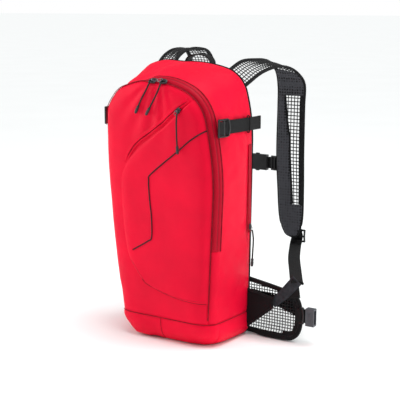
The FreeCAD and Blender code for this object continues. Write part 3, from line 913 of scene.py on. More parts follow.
def crossings(z, loop):
    """The lowest and highest x where a loop crosses a height."""
    a, b = loop, np.roll(loop, -1, axis=0)
    span = b[:, 1] - a[:, 1]
    safe = np.where(np.abs(span) < 1e-9, 1e-9, span)
    t = (z - a[:, 1]) / safe
    hit = (t >= 0) & (t <= 1)
    xs = a[hit, 0] + (b[hit, 0] - a[hit, 0]) * t[hit]
    return xs.min(), xs.max()


def eased(count):
    """count shares from 0 to 1, closer together at both ends."""
    return 0.5 - 0.5 * np.cos(np.linspace(0, math.pi, count))


def pocket_rows(rows=96, columns=60):
    """Rows of points over the pocket's cloth, from its own left edge to the rim, where the two overlap."""
    tries = np.arange(POCKET_LOOP[:, 1].min() + 0.1, POCKET_LOOP[:, 1].max() - 0.1, 0.25)
    inside = [z for z in tries if crossings(z, POCKET_LOOP)[0] < crossings(z, RIM_LOOP)[1] - 2]
    share = 0.55 * eased(rows) + 0.45 * np.linspace(0, 1, rows)
    heights = inside[0] + (inside[-1] - inside[0]) * share
    left = np.array([crossings(z, POCKET_LOOP)[0] for z in heights])[:, None]
    right = np.array([crossings(z, RIM_LOOP)[1] - 0.8 for z in heights])[:, None]
    x = left + (right - left) * eased(columns)
    z = np.repeat(heights[:, None], columns, axis=1)
    return np.stack([x, pocket_y(x, z), z], axis=-1)


def on_front(points, lift=0.0):
    """Points (x, z) laid on the front of the bag, on the pocket where there is one."""
    p = even_path(points, 3.0, dims=2)
    return at_depth(p, pocket_y(p[:, 0], p[:, 1]) - lift)


pocket_points, pocket_faces, _ = grid(pocket_rows()[:, ::-1])
follow_door(piece("pocket_skin", [(pocket_points, pocket_faces, pocket_points[:, (0, 2)])], red_nylon,
                  nodes=["pocket_upper", "pocket_lower"]))
piping_path = on_front(smooth_path(PIPING, 10), 0.35)
follow_door(piece("piping_cord", [sweep(piping_path, tape(1.3, 0.5), FORWARD, halfs=1.0)], dark_piping,
                  nodes=["piping"]))

ZIP_LINE = [(56, 369.5), (37, 356), (6, 330.5), (-31, 305), (-47, 287), (-55, 272)]
zip_run = smooth_path(ZIP_LINE)
zip_side = unit(np.stack([-np.gradient(zip_run[:, 1]), np.gradient(zip_run[:, 0])], axis=1))


def beside_zip(offset, lift):
    """A line beside the pocket zip that sinks at both ends. A negative offset is towards the pocket."""
    p = zip_run + zip_side * offset
    share = np.linspace(0, 1, len(p))
    return at_depth(p, front_y(p[:, 0], p[:, 1]) - lift * fade(share, 0.0, 0.08) * fade(share, 1.0, 0.7))


piece("pocket_zip_lips", [sweep(beside_zip(1.5, 1.2), tape(1.1), FORWARD, halfs=1.4),
                          sweep(beside_zip(-3.0, 2.4), tape(1.0), FORWARD, halfs=2.3)],
      red_nylon, "door", ["pocket_zip_tape"])
piece("pocket_zip_coil", both_teeth(beside_zip(-0.3, 1.5), FORWARD, SMALL_PITCH), coil_nylon, "door")
# The pocket's foot: a thin dark line along its seam, painted shade under the pocket's edge, and a row of
# stitches just above it.
FOOT_SEAM = [(-26, 94.5), (-15.8, 86.6), (13.9, 78), (39.5, 73.3), (68.2, 71.1), (85, 70.8)]
FOOT_STITCHES = [(-46, 122), (-15, 88.5), (14, 80.0), (40, 75.4), (84, 74.6)]
foot_line = on_front(smooth_path(FOOT_SEAM), 0.1)
follow_door(piece("pocket_foot_seam_shade", [tube(foot_line, SEAM_SHADE_RADIUS, 6)], painted_seam_shade))
foot = on_front(smooth_path(FOOT_STITCHES), 0.05)
piece("pocket_stitching", stitches(foot, FORWARD), stitch_red, "pack")


# ---- hard parts: rounded boxes, sliders and locks ----
def rounded_box(size, radius, taper=0.0, steps=4):
    """A box about the origin with round edges. taper narrows X towards +Z by that share."""
    half = np.asarray(size, float) / 2
    radius = min(radius, half.min() * 0.98)
    core = half - radius
    bend = radius * (1 - np.cos(np.linspace(0, math.pi / 2, steps)))
    lines = [np.concatenate([-h + bend, h - bend[::-1]]) for h in half]
    points, faces = [], []
    for axis in range(3):
        a, b = [(1, 2), (2, 0), (0, 1)][axis]
        for side in (-1, 1):
            start = len(points)
            for u in lines[a]:
                for v in lines[b]:
                    p = np.zeros(3)
                    p[axis], p[a], p[b] = side * half[axis], u, v
                    points.append(p)
            rows, columns = len(lines[a]), len(lines[b])
            for i in range(rows - 1):
                for j in range(columns - 1):
                    k = start + i * columns + j
                    quad = (k, k + columns, k + columns + 1, k + 1)
                    faces.append(quad if side > 0 else quad[::-1])
    points = np.array(points)
    inner = np.clip(points, -core, core)
    points = inner + unit(points - inner) * radius
    points[:, 0] *= 1 - taper * (points[:, 2] / half[2] + 1) / 2
    return points, faces, points[:, :2].copy()


def turned(part, at=(0, 0, 0), x=0.0, y=0.0, z=0.0, scale=(1, 1, 1)):
    """A part scaled, turned about X, then Y, then Z in degrees, and moved."""
    points = part[0] * scale
    for axis, degrees in enumerate((x, y, z)):
        c, s = math.cos(math.radians(degrees)), math.sin(math.radians(degrees))
        a, b = [(1, 2), (2, 0), (0, 1)][axis]
        first = points[:, a] * c - points[:, b] * s
        points[:, b] = points[:, a] * s + points[:, b] * c
        points[:, a] = first
    faces = part[1]
    if np.prod(scale) < 0:
        faces = [face[::-1] for face in faces]
    return points + np.asarray(at, float), faces, part[2]


def mirror(parts):
    """The same parts for the other side of the bag."""
    return [turned(part, scale=(-1, 1, 1)) for part in parts]


def sided(parts, side):
    """Parts made for the wearer's right, or their mirror image for the left."""
    return mirror(parts) if side == "left" else parts


def oval(width, height, radius, count=28, power=2.6):
    """A closed wire loop in the XZ plane, as a rounded rectangle."""
    turn = np.linspace(0, 2 * math.pi, count, endpoint=False)
    x = np.sign(np.cos(turn)) * np.abs(np.cos(turn)) ** (2 / power) * width / 2
    z = np.sign(np.sin(turn)) * np.abs(np.sin(turn)) ** (2 / power) * height / 2
    path = np.stack([x, np.zeros(count), z], axis=1)
    along = unit(np.roll(path, -1, axis=0) - np.roll(path, 1, axis=0))
    up = np.array(FORWARD, float)
    across = np.cross(along, up)
    section = circle(radius)
    rows = path[:, None] + section[None, :, 1, None] * across[:, None] + section[None, :, 2, None] * up
    return grid(np.concatenate([rows, rows[:1]]), close=True)


def slider_parts():
    """A zip slider about the origin, its wide face along XZ and its bridge towards -Y: (body, wire)."""
    body = [rounded_box((7.0, 1.3, 9.0), 0.6, taper=0.28),
            turned(rounded_box((6.2, 1.1, 7.6), 0.5, taper=0.25), (0, 1.7, 0)),
            turned(rounded_box((1.6, 2.2, 3.0), 0.4), (0, 0.8, 2.6))]
    for x in (-2.85, 2.85):
        body.append(turned(rounded_box((0.8, 1.8, 6.2), 0.35), (x, -0.1, -0.6)))
    arch = smooth_path([(0, -0.4, 3.4), (0, -1.9, 2.4), (0, -2.3, 0), (0, -1.9, -2.4), (0, -0.4, -3.4)], 5)
    body.append(sweep(arch, tape(0.9, 0.3), (0.2, -1.0, 0.1), halfs=0.9))
    wire = [turned(oval(4.4, 7.4, 0.42), (0, -2.1, -4.0), x=14)]
    return body, wire


def zip_slider(name, at, size=(1, 1, 1), lean=0.0, **turns):
    """A slider along its zip: turned about Y or Z, then leaned about X. Its node and body have its name."""
    for label, parts, material in zip(("body", "ring"), slider_parts(), (enamel, steel)):
        placed = [turned(turned(turned(p, scale=size), **turns), at, x=lean) for p in parts]
        piece(f"{name}_{label}", placed, material, name, [name] if label == "body" else ())


RIM_TOP_Z = 393.3
for side, x, tilt in (("right", 10.2, 90), ("left", -9.8, -90)):
    zip_slider(f"main_slider_{side}", (x, RIM_Y - 1.6, RIM_TOP_Z + 2.4), (1.15, 1.1, 1.35), lean=-50, y=tilt)
zip_slider("pocket_slider", (42.4, -62.2, 355.4), y=40)
zip_slider("side_slider", (106.4, 38.0, 174.0), z=90)


def ladder_lock(width, height, thick, bar, middle):
    """A ladder lock about the origin: side rails, end bars, a middle bar and a raised lip with grip ribs."""
    rail = 3.2
    parts = []
    for x in ((rail - width) / 2, (width - rail) / 2):
        end = height / 2 - 1.0
        rail_path = [(x, thick * 0.5, -end), (x, thick * 0.22, 0), (x, thick * 0.5, end)]
        parts.append(sweep(smooth_path(rail_path, 6), tape(thick * 0.72, 0.9), FORWARD, halfs=rail / 2))
    for z, deep in ((-height / 2 + bar / 2, 0.5), (middle, 0.3), (height / 2 - bar / 2, 0.5)):
        parts.append(turned(rounded_box((width - 1.0, thick * 0.8, bar), 1.0), (0, thick * deep, z)))
    lip_end, lip_z = width / 2 - 1.5, height / 2 - 1.2
    lip = smooth_path([(-lip_end, -0.3, lip_z), (0, -1.0, height / 2 + 0.4), (lip_end, -0.3, lip_z)])
    parts.append(sweep(lip, tape(1.8, 0.7), FORWARD, halfs=1.5))
    rib = rounded_box((0.8, 0.9, bar * 0.8), 0.35)
    return parts + [turned(rib, (k * width / 7.5, thick * 0.02, height / 2 - bar / 2)) for k in range(-2, 3)]


# ---- webbing straps ----
WEBBING_HALF = 10.0
TACK_PITCH = 0.9
TACK_HALF = 1.2


def webbing(path, half, up, thick=1.6, steps=8):
    """A flat strap along given points, with softly rounded edges."""
    run = even_path(smooth_path(path, steps), 2.5)
    return sweep(run, tape(thick, 1.0), up, halfs=half)


def bar_tack(at, along, up, width):
    """A short dense block of zigzag stitches across a strap."""
    along, up = unit(along), unit(up)
    count = int(width / TACK_PITCH)
    steps = np.arange(count + 1)[:, None]
    middle = np.asarray(at) + np.cross(along, up) * width * (steps / count - 0.5)
    zigzag = middle + along * TACK_HALF * np.where(steps % 2, 1, -1) + up * 0.25
    return tube(zigzag, 0.32, 5)


OUT = (1, -0.1, 0)
# Each side has its own lock position, and stands its webbing out from the cloth by its own distance.
COMP_RUN = [(102.2, 0), (104.8, 24), (106.6, 44), (107.8, 60)]
COMP_STRAPS = [("right", (102.5, -32.5, STRAP_Z), (99.1, -20), 0.0),
               ("left", (105.0, -36.5, STRAP_Z + 8.0), (98.5, -24), 4.5)]
COMP_UNDER = [(96.4, 10.5), (98.4, 24.5), (100.6, 38.5)]
COMP_TAIL = [(107.8, 60), (108.6, 63), (108.0, 64.6), (106.8, 62), (106.2, 57)]
COMP_TACKS = [(107.3, 52), (107.7, 56)]
KEEPER_RING = [(108.2, -11.2), (108.6, 0), (108.2, 11.2), (104.4, 11.6), (103.4, 0), (104.4, -11.6),
               (108.2, -11.2)]
LOCK_WRAP = [(1.1, 10.5), (0.9, 5.0), (-1.5, 2.0), (-3.3, 5.0), (-2.3, 9.0)]
LOCK_BEHIND = [(-1.8, -9.0), (-0.9, -4.0), (-0.3, 1.0), (0.6, 6.0), (1.2, 10.0)]


def level_line(points, start, z):
    """Points (x, y) at one height, measured from a start (x, y)."""
    return [(x + start[0], y + start[1], z) for x, y in points]


for side, lock_at, run_start, stand_off in COMP_STRAPS:
    z = lock_at[2]
    lock_body = f"compression_lock_{side}"
    parts = [webbing(level_line([run_start] + COMP_RUN, (stand_off, 0), z), WEBBING_HALF, OUT),
             webbing(level_line(COMP_UNDER, (stand_off + 0.6, lock_at[1]), z), WEBBING_HALF - 0.2, OUT, 1.4),
             webbing(level_line(COMP_TAIL, (stand_off, 0), z), WEBBING_HALF, OUT, 1.5)]
    piece(f"compression_strap_{side}", sided(parts, side), black_webbing, "pack",
          [f"compression_webbing_{side}"])
    tacks = [bar_tack(at, (0.03, 1, 0), OUT, 16) for at in level_line(COMP_TACKS, (stand_off, 0), z)]
    piece(f"compression_tacks_{side}", sided(tacks, side), stitch_black, "pack")
    keeper = even_path(smooth_path([(x + stand_off, 30, z + rise) for x, rise in KEEPER_RING], 6), 1.5)
    piece(f"strap_keeper_{side}", sided([sweep(keeper, tape(1.1, 0.5), (0, 1, 0.02), halfs=0.9)], side),
          black_binding, "pack")
    lock = [turned(turned(p, y=90), lock_at, z=82) for p in ladder_lock(27.0, 22.0, 4.0, 3.0, 0.0)]
    piece(f"compression_buckle_{side}", sided(lock, side), black_plastic, lock_body, [lock_body])
    wraps = [webbing(level_line(LOCK_WRAP, lock_at, z), WEBBING_HALF - 0.3, OUT, 1.3),
             webbing(level_line(LOCK_BEHIND, lock_at, z), WEBBING_HALF - 0.2, OUT, 1.4)]
    piece(f"compression_wrap_{side}", sided(wraps, side), black_webbing, lock_body)


# ---- the haul loop ----
LOOP_Y = 58.5
HAUL_LOOP = [(-20.2, 412), (-19.2, 420), (-12.5, 426.8), (3, 430), (18.5, 426.8), (25.2, 420), (26.2, 412)]
loop_run = even_path(smooth_path([(x, LOOP_Y, z) for x, z in HAUL_LOOP]), 1.6)
loop_up = unit(loop_run - (3, LOOP_Y, 405))
piece("haul_loop_webbing", [sweep(loop_run, tape(2.0, 0.9), loop_up, halfs=8.0)], black_webbing, "haul_loop",
      ["haul_loop"])
edges = []
for across in (-6.1, 6.1):
    edges += stitches(loop_run + (0, across, 0) + loop_up * 0.9, loop_up, 3.0)
piece("haul_loop_stitching", edges, stitch_black, "haul_loop")


# ---- shoulder straps: net, bound edges and foam ----
# Each strap is given by (centre, half width, tilt): the tilt in degrees lowers the strap's outer edge.
STRAP_LOWER = [((85, 208, 376), 25.5, 0), ((84.5, 209, 340), 25, 0), ((84, 209, 265), 25.5, 0),
               ((86, 209, 205), 24.5, 0), ((88, 209, 150), 21.5, 0), ((90, 208.5, 121), 10, 0)]
RIGHT_ARCH = [((60, 56, 387), 20, 40), ((62, 80, 398), 20.5, 36), ((65, 112, 410), 21.5, 25),
              ((70, 146, 414), 22.5, 15), ((76, 178, 411), 23, 14), ((82, 199, 397), 23.5, 9)]
LEFT_ARCH = [((67, 57, 396), 20, 20), ((69, 80, 420), 20.5, 12), ((72, 112, 432), 21.5, 6),
             ((75, 146, 434), 22.5, 2), ((79, 178, 428), 24, 0), ((82, 199, 406), 25, 0)]
TIP_LENGTH = 22.0
TIP_HALF = 18.5
NET_CELL = 5.8
NET_THREAD = 0.85
WIDEST_HALF = 30.0


class Strap:
    """A curved strap: places on it are (distance from the top, distance across, height off its middle)."""

    def __init__(self, sections):
        table = np.array([(*centre, half, tilt) for centre, half, tilt in sections], float)
        self.rows = even_path(smooth_path(table, 12), 2.0)
        self.along = lengths(self.rows[:, :3])
        self.length = self.along[-1]
        tilt = np.radians(self.rows[:, 4])
        across = np.stack([np.cos(tilt), np.zeros(len(tilt)), -np.sin(tilt)], axis=1)
        run = tangents(self.rows[:, :3])
        up = unit(np.cross(across, run))
        self.frame = np.hstack([self.rows[:, :3], across, up])

    def half(self, s):
        """Half width: it rounds off at the lower end."""
        wide = np.interp(s, self.along, self.rows[:, 3])
        end = self.length - np.asarray(s, float)
        tip = TIP_HALF * np.sqrt(np.clip(1 - (1 - end / TIP_LENGTH) ** 2, 0, 1))
        return np.where(end < TIP_LENGTH, np.minimum(wide, tip), wide)

    def at(self, s, x, h):
        """Places x across the strap and h off its middle, s down from its top."""
        s, x, h = np.broadcast_arrays(np.asarray(s, float), x, h)
        got = np.stack([np.interp(s, self.along, column) for column in self.frame.T], axis=-1)
        return got[..., :3] + got[..., 3:6] * x[..., None] + got[..., 6:9] * h[..., None]

    def up(self, s):
        """The strap's outward direction, s down from its top."""
        return np.stack([np.interp(s, self.along, column) for column in self.frame[:, 6:9].T], axis=-1)

    def down_to(self, z):
        """The distance from the top to the lowest place on the strap that is as high as z."""
        from_foot = int(np.searchsorted(self.frame[::-1, 2], z))
        return float(self.along[len(self.along) - 1 - from_foot])


def net(strap, start, end, low, high):
    """An open square net between two edges, each a function of the distance along the strap."""
    parts = []
    reach = int(WIDEST_HALF / NET_CELL)
    samples = np.arange(start, end, 2.4)
    for k in range(-reach, reach + 1):
        x = k * NET_CELL
        inside = (x > low(samples)) & (x < high(samples))
        runs = np.split(samples, np.flatnonzero(np.diff(inside.astype(int))) + 1)
        for run in runs:
            if len(run) > 1 and low(run[1]) < x < high(run[1]):
                parts.append(sweep(strap.at(run, x, 0), circle(NET_THREAD, 4), strap.up(run), caps=False))
    for s in np.arange(start, end, NET_CELL):
        x = np.linspace(low(s), high(s), 7)
        if x[-1] - x[0] > 2.0:
            path = strap.at(s, x, 0.35 * np.cos(x * math.pi / NET_CELL))
            parts.append(sweep(path, circle(NET_THREAD, 4), strap.up(s), caps=False))
    return parts


def edge_tape(path, inward, up, cover, thick):
    """A tape folded over an edge: a soft C that covers both faces."""
    h = thick / 2
    outer = [(cover, h * 0.75), (cover * 0.55, h), (0.9, h * 1.02), (-0.1, h * 0.8), (-0.7, 0)]
    inner = [(cover, -h * 0.3), (1.4, -h * 0.25), (1.0, 0)]
    profile = outer + [(a, -b) for a, b in outer[-2::-1]] + inner + [(a, -b) for a, b in inner[-2::-1]]
    return capped(np.stack([path + inward * a + up * b for a, b in profile], axis=1))


def closed_skin(top, under):
    """One closed part from two grids of points that share a rim: an outer side and an under side."""
    rows, columns = top.shape[:2]
    n = rows * columns
    points, faces, uvs = grid(top)
    under_points, under_faces, under_uvs = grid(under)
    flipped = [tuple(k + n for k in face[::-1]) for face in under_faces]
    loop = [i * columns for i in range(rows)] + [(rows - 1) * columns + j for j in range(1, columns)]
    loop += [i * columns + columns - 1 for i in range(rows - 2, -1, -1)] + list(range(columns - 2, 0, -1))
    rim = [(i, j, n + j, n + i) for i, j in zip(loop, loop[1:] + loop[:1])]
    return np.vstack([points, under_points]), faces + flipped + rim, np.vstack([uvs, under_uvs])


# A pad's cover stands this far off its middle or its bed at the rim.
RIM_THICK = 0.4


def foam_pad(strap, start, end, low, high, thick, rows=80, columns=18):
    """A crowned pad on the strap between two edges, thin at its rim."""
    s, share = np.meshgrid(start + (end - start) * eased(rows), eased(columns), indexing="ij")
    x = low(s) + (high(s) - low(s)) * share
    edge = np.minimum(np.minimum(x - low(s), high(s) - x), np.minimum(s - start, end - s))
    lumps = 1 + 0.07 * rumple(np.stack([x, s, np.zeros_like(s)], axis=-1), 28.0, 9)
    height = (RIM_THICK + (thick / 2 - RIM_THICK) * crown_share(edge, 5.0)) * lumps
    return closed_skin(strap.at(s, x, height), strap.at(s, x, -height))


def cushion(loop, low, rise, reach=9.0, rows=56, columns=26, seed=4, lumps=0.06):
    """A pad that lies on the plane at low, inside a closed loop: a domed outer side and a flat under side."""
    bottom, top = loop[:, 1].min() + 0.02, loop[:, 1].max() - 0.02
    heights = bottom + (top - bottom) * eased(rows)
    ends = np.array([crossings(z, loop) for z in heights])
    x = ends[:, :1] + (ends[:, 1:] - ends[:, :1]) * eased(columns)
    z = np.repeat(heights[:, None], columns, axis=1)
    crown = crown_share(edge_distance(x, z, loop), reach)
    uneven = 1 + lumps * rumple(np.stack([x, np.zeros_like(x), z], axis=-1), 32.0, seed)
    y = low + RIM_THICK + (rise - RIM_THICK) * crown * uneven
    return closed_skin(np.stack([x, y, z], axis=-1), np.stack([x, np.full_like(x, low), z], axis=-1))


PUFF_CELL = 5.0
PUFF_CAP = 2.0
PUFF_FRAMES = 20


def puff(obj):
    """Fills a pad by a short cloth simulation, so that its cover bulges and puckers as sewn cloth."""
    remesh = obj.modifiers.new("even_cells", "REMESH")
    remesh.mode = "VOXEL"
    remesh.voxel_size = PUFF_CELL * MM
    remesh.use_smooth_shade = True
    material = obj.data.materials[0]
    bake_modifiers(obj)
    rest = np.array([v.co[:] for v in obj.data.vertices])
    cloth = obj.modifiers.new("filling", "CLOTH")
    cloth.settings.quality = 5
    cloth.settings.use_pressure = True
    cloth.settings.uniform_pressure_force = 4.0
    cloth.settings.effector_weights.gravity = 0.0
    cloth.point_cache.frame_start, cloth.point_cache.frame_end = 1, PUFF_FRAMES
    for step in range(1, PUFF_FRAMES + 1):
        scene.frame_set(step)
    blown = obj.evaluated_get(bpy.context.evaluated_depsgraph_get()).data
    moved = np.array([v.co[:] for v in blown.vertices]) - rest
    scene.frame_set(1)
    obj.modifiers.clear()
    reach = np.linalg.norm(moved, axis=1, keepdims=True)
    moved *= np.minimum(1.0, PUFF_CAP * MM / np.maximum(reach, 1e-9))
    obj.data.vertices.foreach_set("co", (rest + moved).ravel())
    finer = obj.modifiers.new("finer", "SUBSURF")
    finer.levels = finer.render_levels = 1
    bake_modifiers(obj)
    obj.data.materials.clear()
    obj.data.materials.append(material)


EDGE_COVER = 5.0
# The outer net's window narrows down the strap: its inset from the inner edge, by the share of its length.
WINDOW_SHARES = (0, 0.2, 0.4, 0.65, 1)
WINDOW_INSETS = (13, 17, 24, 25, 26)
STRAP_START = 2.0


def bound_edge(strap):
    """The strap's free edge down one side, round the foot and back up: (distances down, path, inward, up)."""
    total = strap.length
    round_foot = total - 24 * np.cos(np.linspace(0, math.pi / 2, 14)[:-1])
    s = np.concatenate([np.arange(STRAP_START, total - 24, 3.0), round_foot])
    tip = strap.at(total - 0.05, 0.0, 0)[None]
    path = np.vstack([strap.at(s, strap.half(s), 0), tip, strap.at(s, -strap.half(s), 0)[::-1]])
    ups = np.vstack([strap.up(s), strap.up(np.array([total])), strap.up(s)[::-1]])
    inward = unit(np.cross(ups, tangents(path)))
    middle_line = strap.at(np.concatenate([s, [total - 20], s[::-1]]), 0.0, 0)
    inward *= np.sign((inward * (middle_line - path)).sum(axis=1, keepdims=True) + 1e-9)
    return s, path, inward, ups


# The webbing sewn to a strap's lower end, as (distance before the end, distance across, height).
ANCHOR = [(46, 2, 3.2), (20, 3, 3.6), (6, 6, 4.0), (0, 8, 4.4)]


def shoulder(side, arch):
    """One shoulder strap: its net, foam, binding, stitches and the webbing at its foot."""
    strap = Strap(arch + STRAP_LOWER)
    total = strap.length
    body = f"shoulder_{side}"
    top_pad, window_top, window_end = strap.down_to(398), strap.down_to(357), strap.down_to(176)

    def edge(way, inset):
        return lambda s: way * (strap.half(s) - inset)

    def seam(s):
        share = (np.asarray(s, float) - window_top) / (window_end - window_top)
        return -strap.half(s) + np.interp(share, WINDOW_SHARES, WINDOW_INSETS)

    whole = net(strap, STRAP_START, total - 4, edge(-1, 2), edge(1, 2))
    piece(f"shoulder_net_{side}", sided(whole, side), black_net, body, [f"shoulder_strap_{side}"])
    pads = [foam_pad(strap, top_pad, window_top, edge(-1, 1.5), edge(1, 1.5), 5.0),
            foam_pad(strap, window_top - 4, window_end + 4, edge(-1, 1.5), seam, 6.4),
            foam_pad(strap, window_end - 1, total - 2.5, edge(-1, 1.5), edge(1, 1.5), 6.4)]
    pad = piece(f"shoulder_foam_{side}", sided(pads, side), spacer, body)
    s, path, inward, ups = bound_edge(strap)
    window = np.arange(window_top, window_end, 3.0)
    window_up = strap.up(window)
    binding = [edge_tape(path, inward, ups, cover=EDGE_COVER, thick=3.4),
               sweep(strap.at(window, seam(window) + 1.0, 0), tape(3.0, 0.8), window_up, halfs=1.2),
               sweep(strap.at(window, edge(1, 6.6)(window), 0), tape(2.6, 0.9), window_up, halfs=3.0)]
    piece(f"shoulder_binding_{side}", sided(binding, side), black_binding, body)
    sewn = []
    for way in (-1, 1):
        sewn += stitches(strap.at(s, edge(way, EDGE_COVER - 0.9)(s), 1.75), strap.up(s), 4.2)
    piece(f"shoulder_stitching_{side}", sided(sewn, side), stitch_black, body)
    anchor_run = [strap.at(total - back, x, h) for back, x, h in ANCHOR]
    anchor = webbing(anchor_run, 9.0, strap.up(total), 1.5, 4)
    piece(f"shoulder_anchor_{side}", sided([anchor], side), black_webbing, body)


shoulder("right", RIGHT_ARCH)
shoulder("left", LEFT_ARCH)

LOCK_AT = (99, 214, 124)
LOCK_WEBBING = [(96, 215.4, 133), (96, 216.6, 129), (96, 219.0, 124), (96, 217.6, 117), (96.6, 212, 109.5)]
for side in SIDES:
    lock_body = f"shoulder_lock_{side}"
    lock = [turned(p, LOCK_AT) for p in ladder_lock(26.0, 22.0, 4.0, 3.0, -1.0)]
    piece(f"shoulder_ladder_lock_{side}", sided(lock, side), black_plastic, lock_body, [lock_body])
    through = webbing(LOCK_WEBBING, WEBBING_HALF - 0.4, BACKWARD, 1.4)
    piece(f"webbing_through_lock_{side}", sided([through], side), black_webbing, lock_body)

# ---- corner tabs and the webbing up to the shoulder straps ----
# The left tab and belt wing are folded back behind the bag.
FOLD_BACK = -70.0
TAB_Y = 42.5
TAB_ROOT = np.array([-104.5, TAB_Y, 0])
WING_ROOT = np.array([-96.0, 54.0, 0])
TAB = [(99, 74), (96, 11), (146, 52), (146, 65)]
DIAGONAL = [(143, 45.4, 55), (153.5, 45.7, 65.5), (164, 46, 76), (172.5, 46.5, 86), (183, 47.6, 98.4)]
# The webbing from each tab up to its shoulder strap: its run and the direction across it.
HANGING = {"right": ([(183.5, 49.4, 97.0), (180.5, 51.5, 94.0), (154, 98, 98), (125, 150, 103),
                      (97.5, 208, 108), (96.0, 215.5, 116.5)], (0.89, 0.454, 0)),
           "left": ([(-125.5, 116.5, 97), (-123.5, 117.5, 93.5), (-117, 140, 77), (-109, 172, 80),
                     (-101, 208, 108), (-98, 215.5, 116.5)], (0.975, -0.225, 0))}


def folded(parts, side, root):
    """Parts made for the right, or their left copy turned back about its root."""
    if side == "right":
        return parts
    return [turned((points - root, faces, uvs), root, z=FOLD_BACK) for points, faces, uvs in mirror(parts)]


def tab_cloth():
    """The tab's cloth as a grid: its two slanting edges run from the bag to the tip."""
    top_root, low_root, low_tip, top_tip = np.array(TAB, float)
    w = np.linspace(0, 1, 14)
    rows = []
    for t in np.linspace(0, 1, 16):
        a, b = top_root + (top_tip - top_root) * t, low_root + (low_tip - low_root) * t
        sag = 0.8 * np.sin(math.pi * w) * math.sin(math.pi * min(1, t + 0.15))
        rows.append(at_depth(a + (b - a) * w[:, None], TAB_Y - sag))
    return grid(rows)


def tab_hems():
    """The hems along the tab's two slanting edges."""
    top_root, low_root, low_tip, top_tip = np.array(TAB, float)
    t = np.linspace(0, 1, 16)[:, None]
    return [sweep(at_depth(a + (b - a) * t, TAB_Y - 0.2), tape(2.0, 0.6), FORWARD, halfs=2.0)
            for a, b in ((top_root, top_tip), (low_root, low_tip))]


def fold_corner():
    """The small triangle where the webbing turns over on itself."""
    top, low, near = np.array([(184.6, 48.2, 98.6), (189.0, 48.8, 71.5), (160.5, 47.6, 66.5)])
    w = np.linspace(0.02, 1, 10)[:, None]
    rows = []
    for t in np.linspace(0, 1, 8):
        a, b = top + (low - top) * t, top + (near - top) * t
        rows.append(a + (b - a) * w - (0, 0.9 * t, 0) * np.sin(math.pi * w))
    return grid(rows)


def strip_across(run, across, halfs):
    """A flat strap along a run, laid so that its width lies along one direction."""
    return sweep(run, tape(1.5, 0.9), np.cross(unit(across), tangents(run)), halfs=halfs)


for side in SIDES:
    run = even_path(smooth_path(DIAGONAL), 2.0)
    strip = strip_across(run, (0.62, 0.1, -0.78), np.interp(lengths(run), [0, 30, 62], [6.4, 8.6, 9.2]))
    piece(f"corner_webbing_{side}", folded([strip], side, TAB_ROOT), grey_webbing, "pack")
    corner = piece(f"webbing_fold_{side}", folded([fold_corner()], side, TAB_ROOT), black_webbing, "pack")
    hanging, across = HANGING[side]
    strip = strip_across(even_path(smooth_path(hanging), 2.5), across, 9.8)
    obj = piece(f"shoulder_webbing_strip_{side}", [strip], black_webbing, nodes=[f"shoulder_webbing_{side}"])
    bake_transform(obj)
    tab = piece(f"corner_tab_cloth_{side}", folded([tab_cloth()], side, TAB_ROOT), black_fabric, "pack",
                [f"corner_tab_{side}"])
    for cloth_part in (tab, corner):
        thick = cloth_part.modifiers.new("cloth_thickness", "SOLIDIFY")
        thick.thickness, thick.offset = 1.2 * MM, 0
        bake_modifiers(cloth_part)
    piece(f"corner_tab_hem_{side}", folded(tab_hems(), side, TAB_ROOT), black_binding, "pack")

# ---- the chest strap ----
STERNUM_Z, STERNUM_Y = 243.0, 213.6
web_y = STERNUM_Y + 2.3
# On each side the webbing starts at its own buckle half, and its adjuster sits at its own place.
CHEST_SIDES = (("right", 38.3, 52, "sternum_right"), ("left", 4.3, 24, "sternum_plug"))
for side, start_x, adjuster_x, owner in CHEST_SIDES:
    middle_x = (start_x + 77) / 2
    path = level_line([(start_x, 0), (middle_x, 0.6), (76.8, 0)], (0, web_y), STERNUM_Z)
    strap_parts = sided([webbing(path, WEBBING_HALF - 0.2, BACKWARD, 1.4)], side)
    piece(f"chest_webbing_{side}", strap_parts, black_webbing, owner, [f"sternum_webbing_{side}"])
    adjuster = [turned(p, (adjuster_x, web_y - 1.6, STERNUM_Z), y=90)
                for p in ladder_lock(25.0, 15.0, 3.2, 2.6, 0.0)]
    piece(f"chest_adjuster_{side}", sided(adjuster, side), black_plastic, owner)


def finish_node(node, material, bevel):
    """Gives a CAD node its material and rounds its edges."""
    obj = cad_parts[node]
    obj.data.materials.clear()
    obj.data.materials.append(material)
    edge = obj.modifiers.new("edge_round", "BEVEL")
    edge.width = bevel * MM
    edge.segments = 3
    edge.limit_method = "ANGLE"
    edge.angle_limit = math.radians(35)


for node, material, bevel in (("sternum_buckle_female", black_plastic, 0.9),
                              ("sternum_buckle_male", black_plastic, 0.9),
                              ("hip_buckle_male", black_plastic, 0.9),
                              ("sternum_slider_left", black_plastic, 0.6),
                              ("sternum_slider_right", black_plastic, 0.6),
                              ("hip_buckle_female", grey_plastic, 0.9),
                              ("frame_sheet", sheet_plastic, 0.4)):
    finish_node(node, material, bevel)

button, chest_rib = rounded_box((7.0, 5.0, 3.2), 1.4), rounded_box((0.9, 0.8, 17.0), 0.35)
buttons = [turned(button, (19.0, STERNUM_Y + 2.2, STERNUM_Z + rise)) for rise in (-13.6, 13.6)]
piece("chest_buckle_buttons", buttons, black_plastic, "sternum_right")
ribs = [turned(chest_rib, (26.5 + 2.2 * k, STERNUM_Y + 6.0, STERNUM_Z)) for k in range(5)]
piece("chest_buckle_ribs", ribs, black_plastic, "sternum_right")

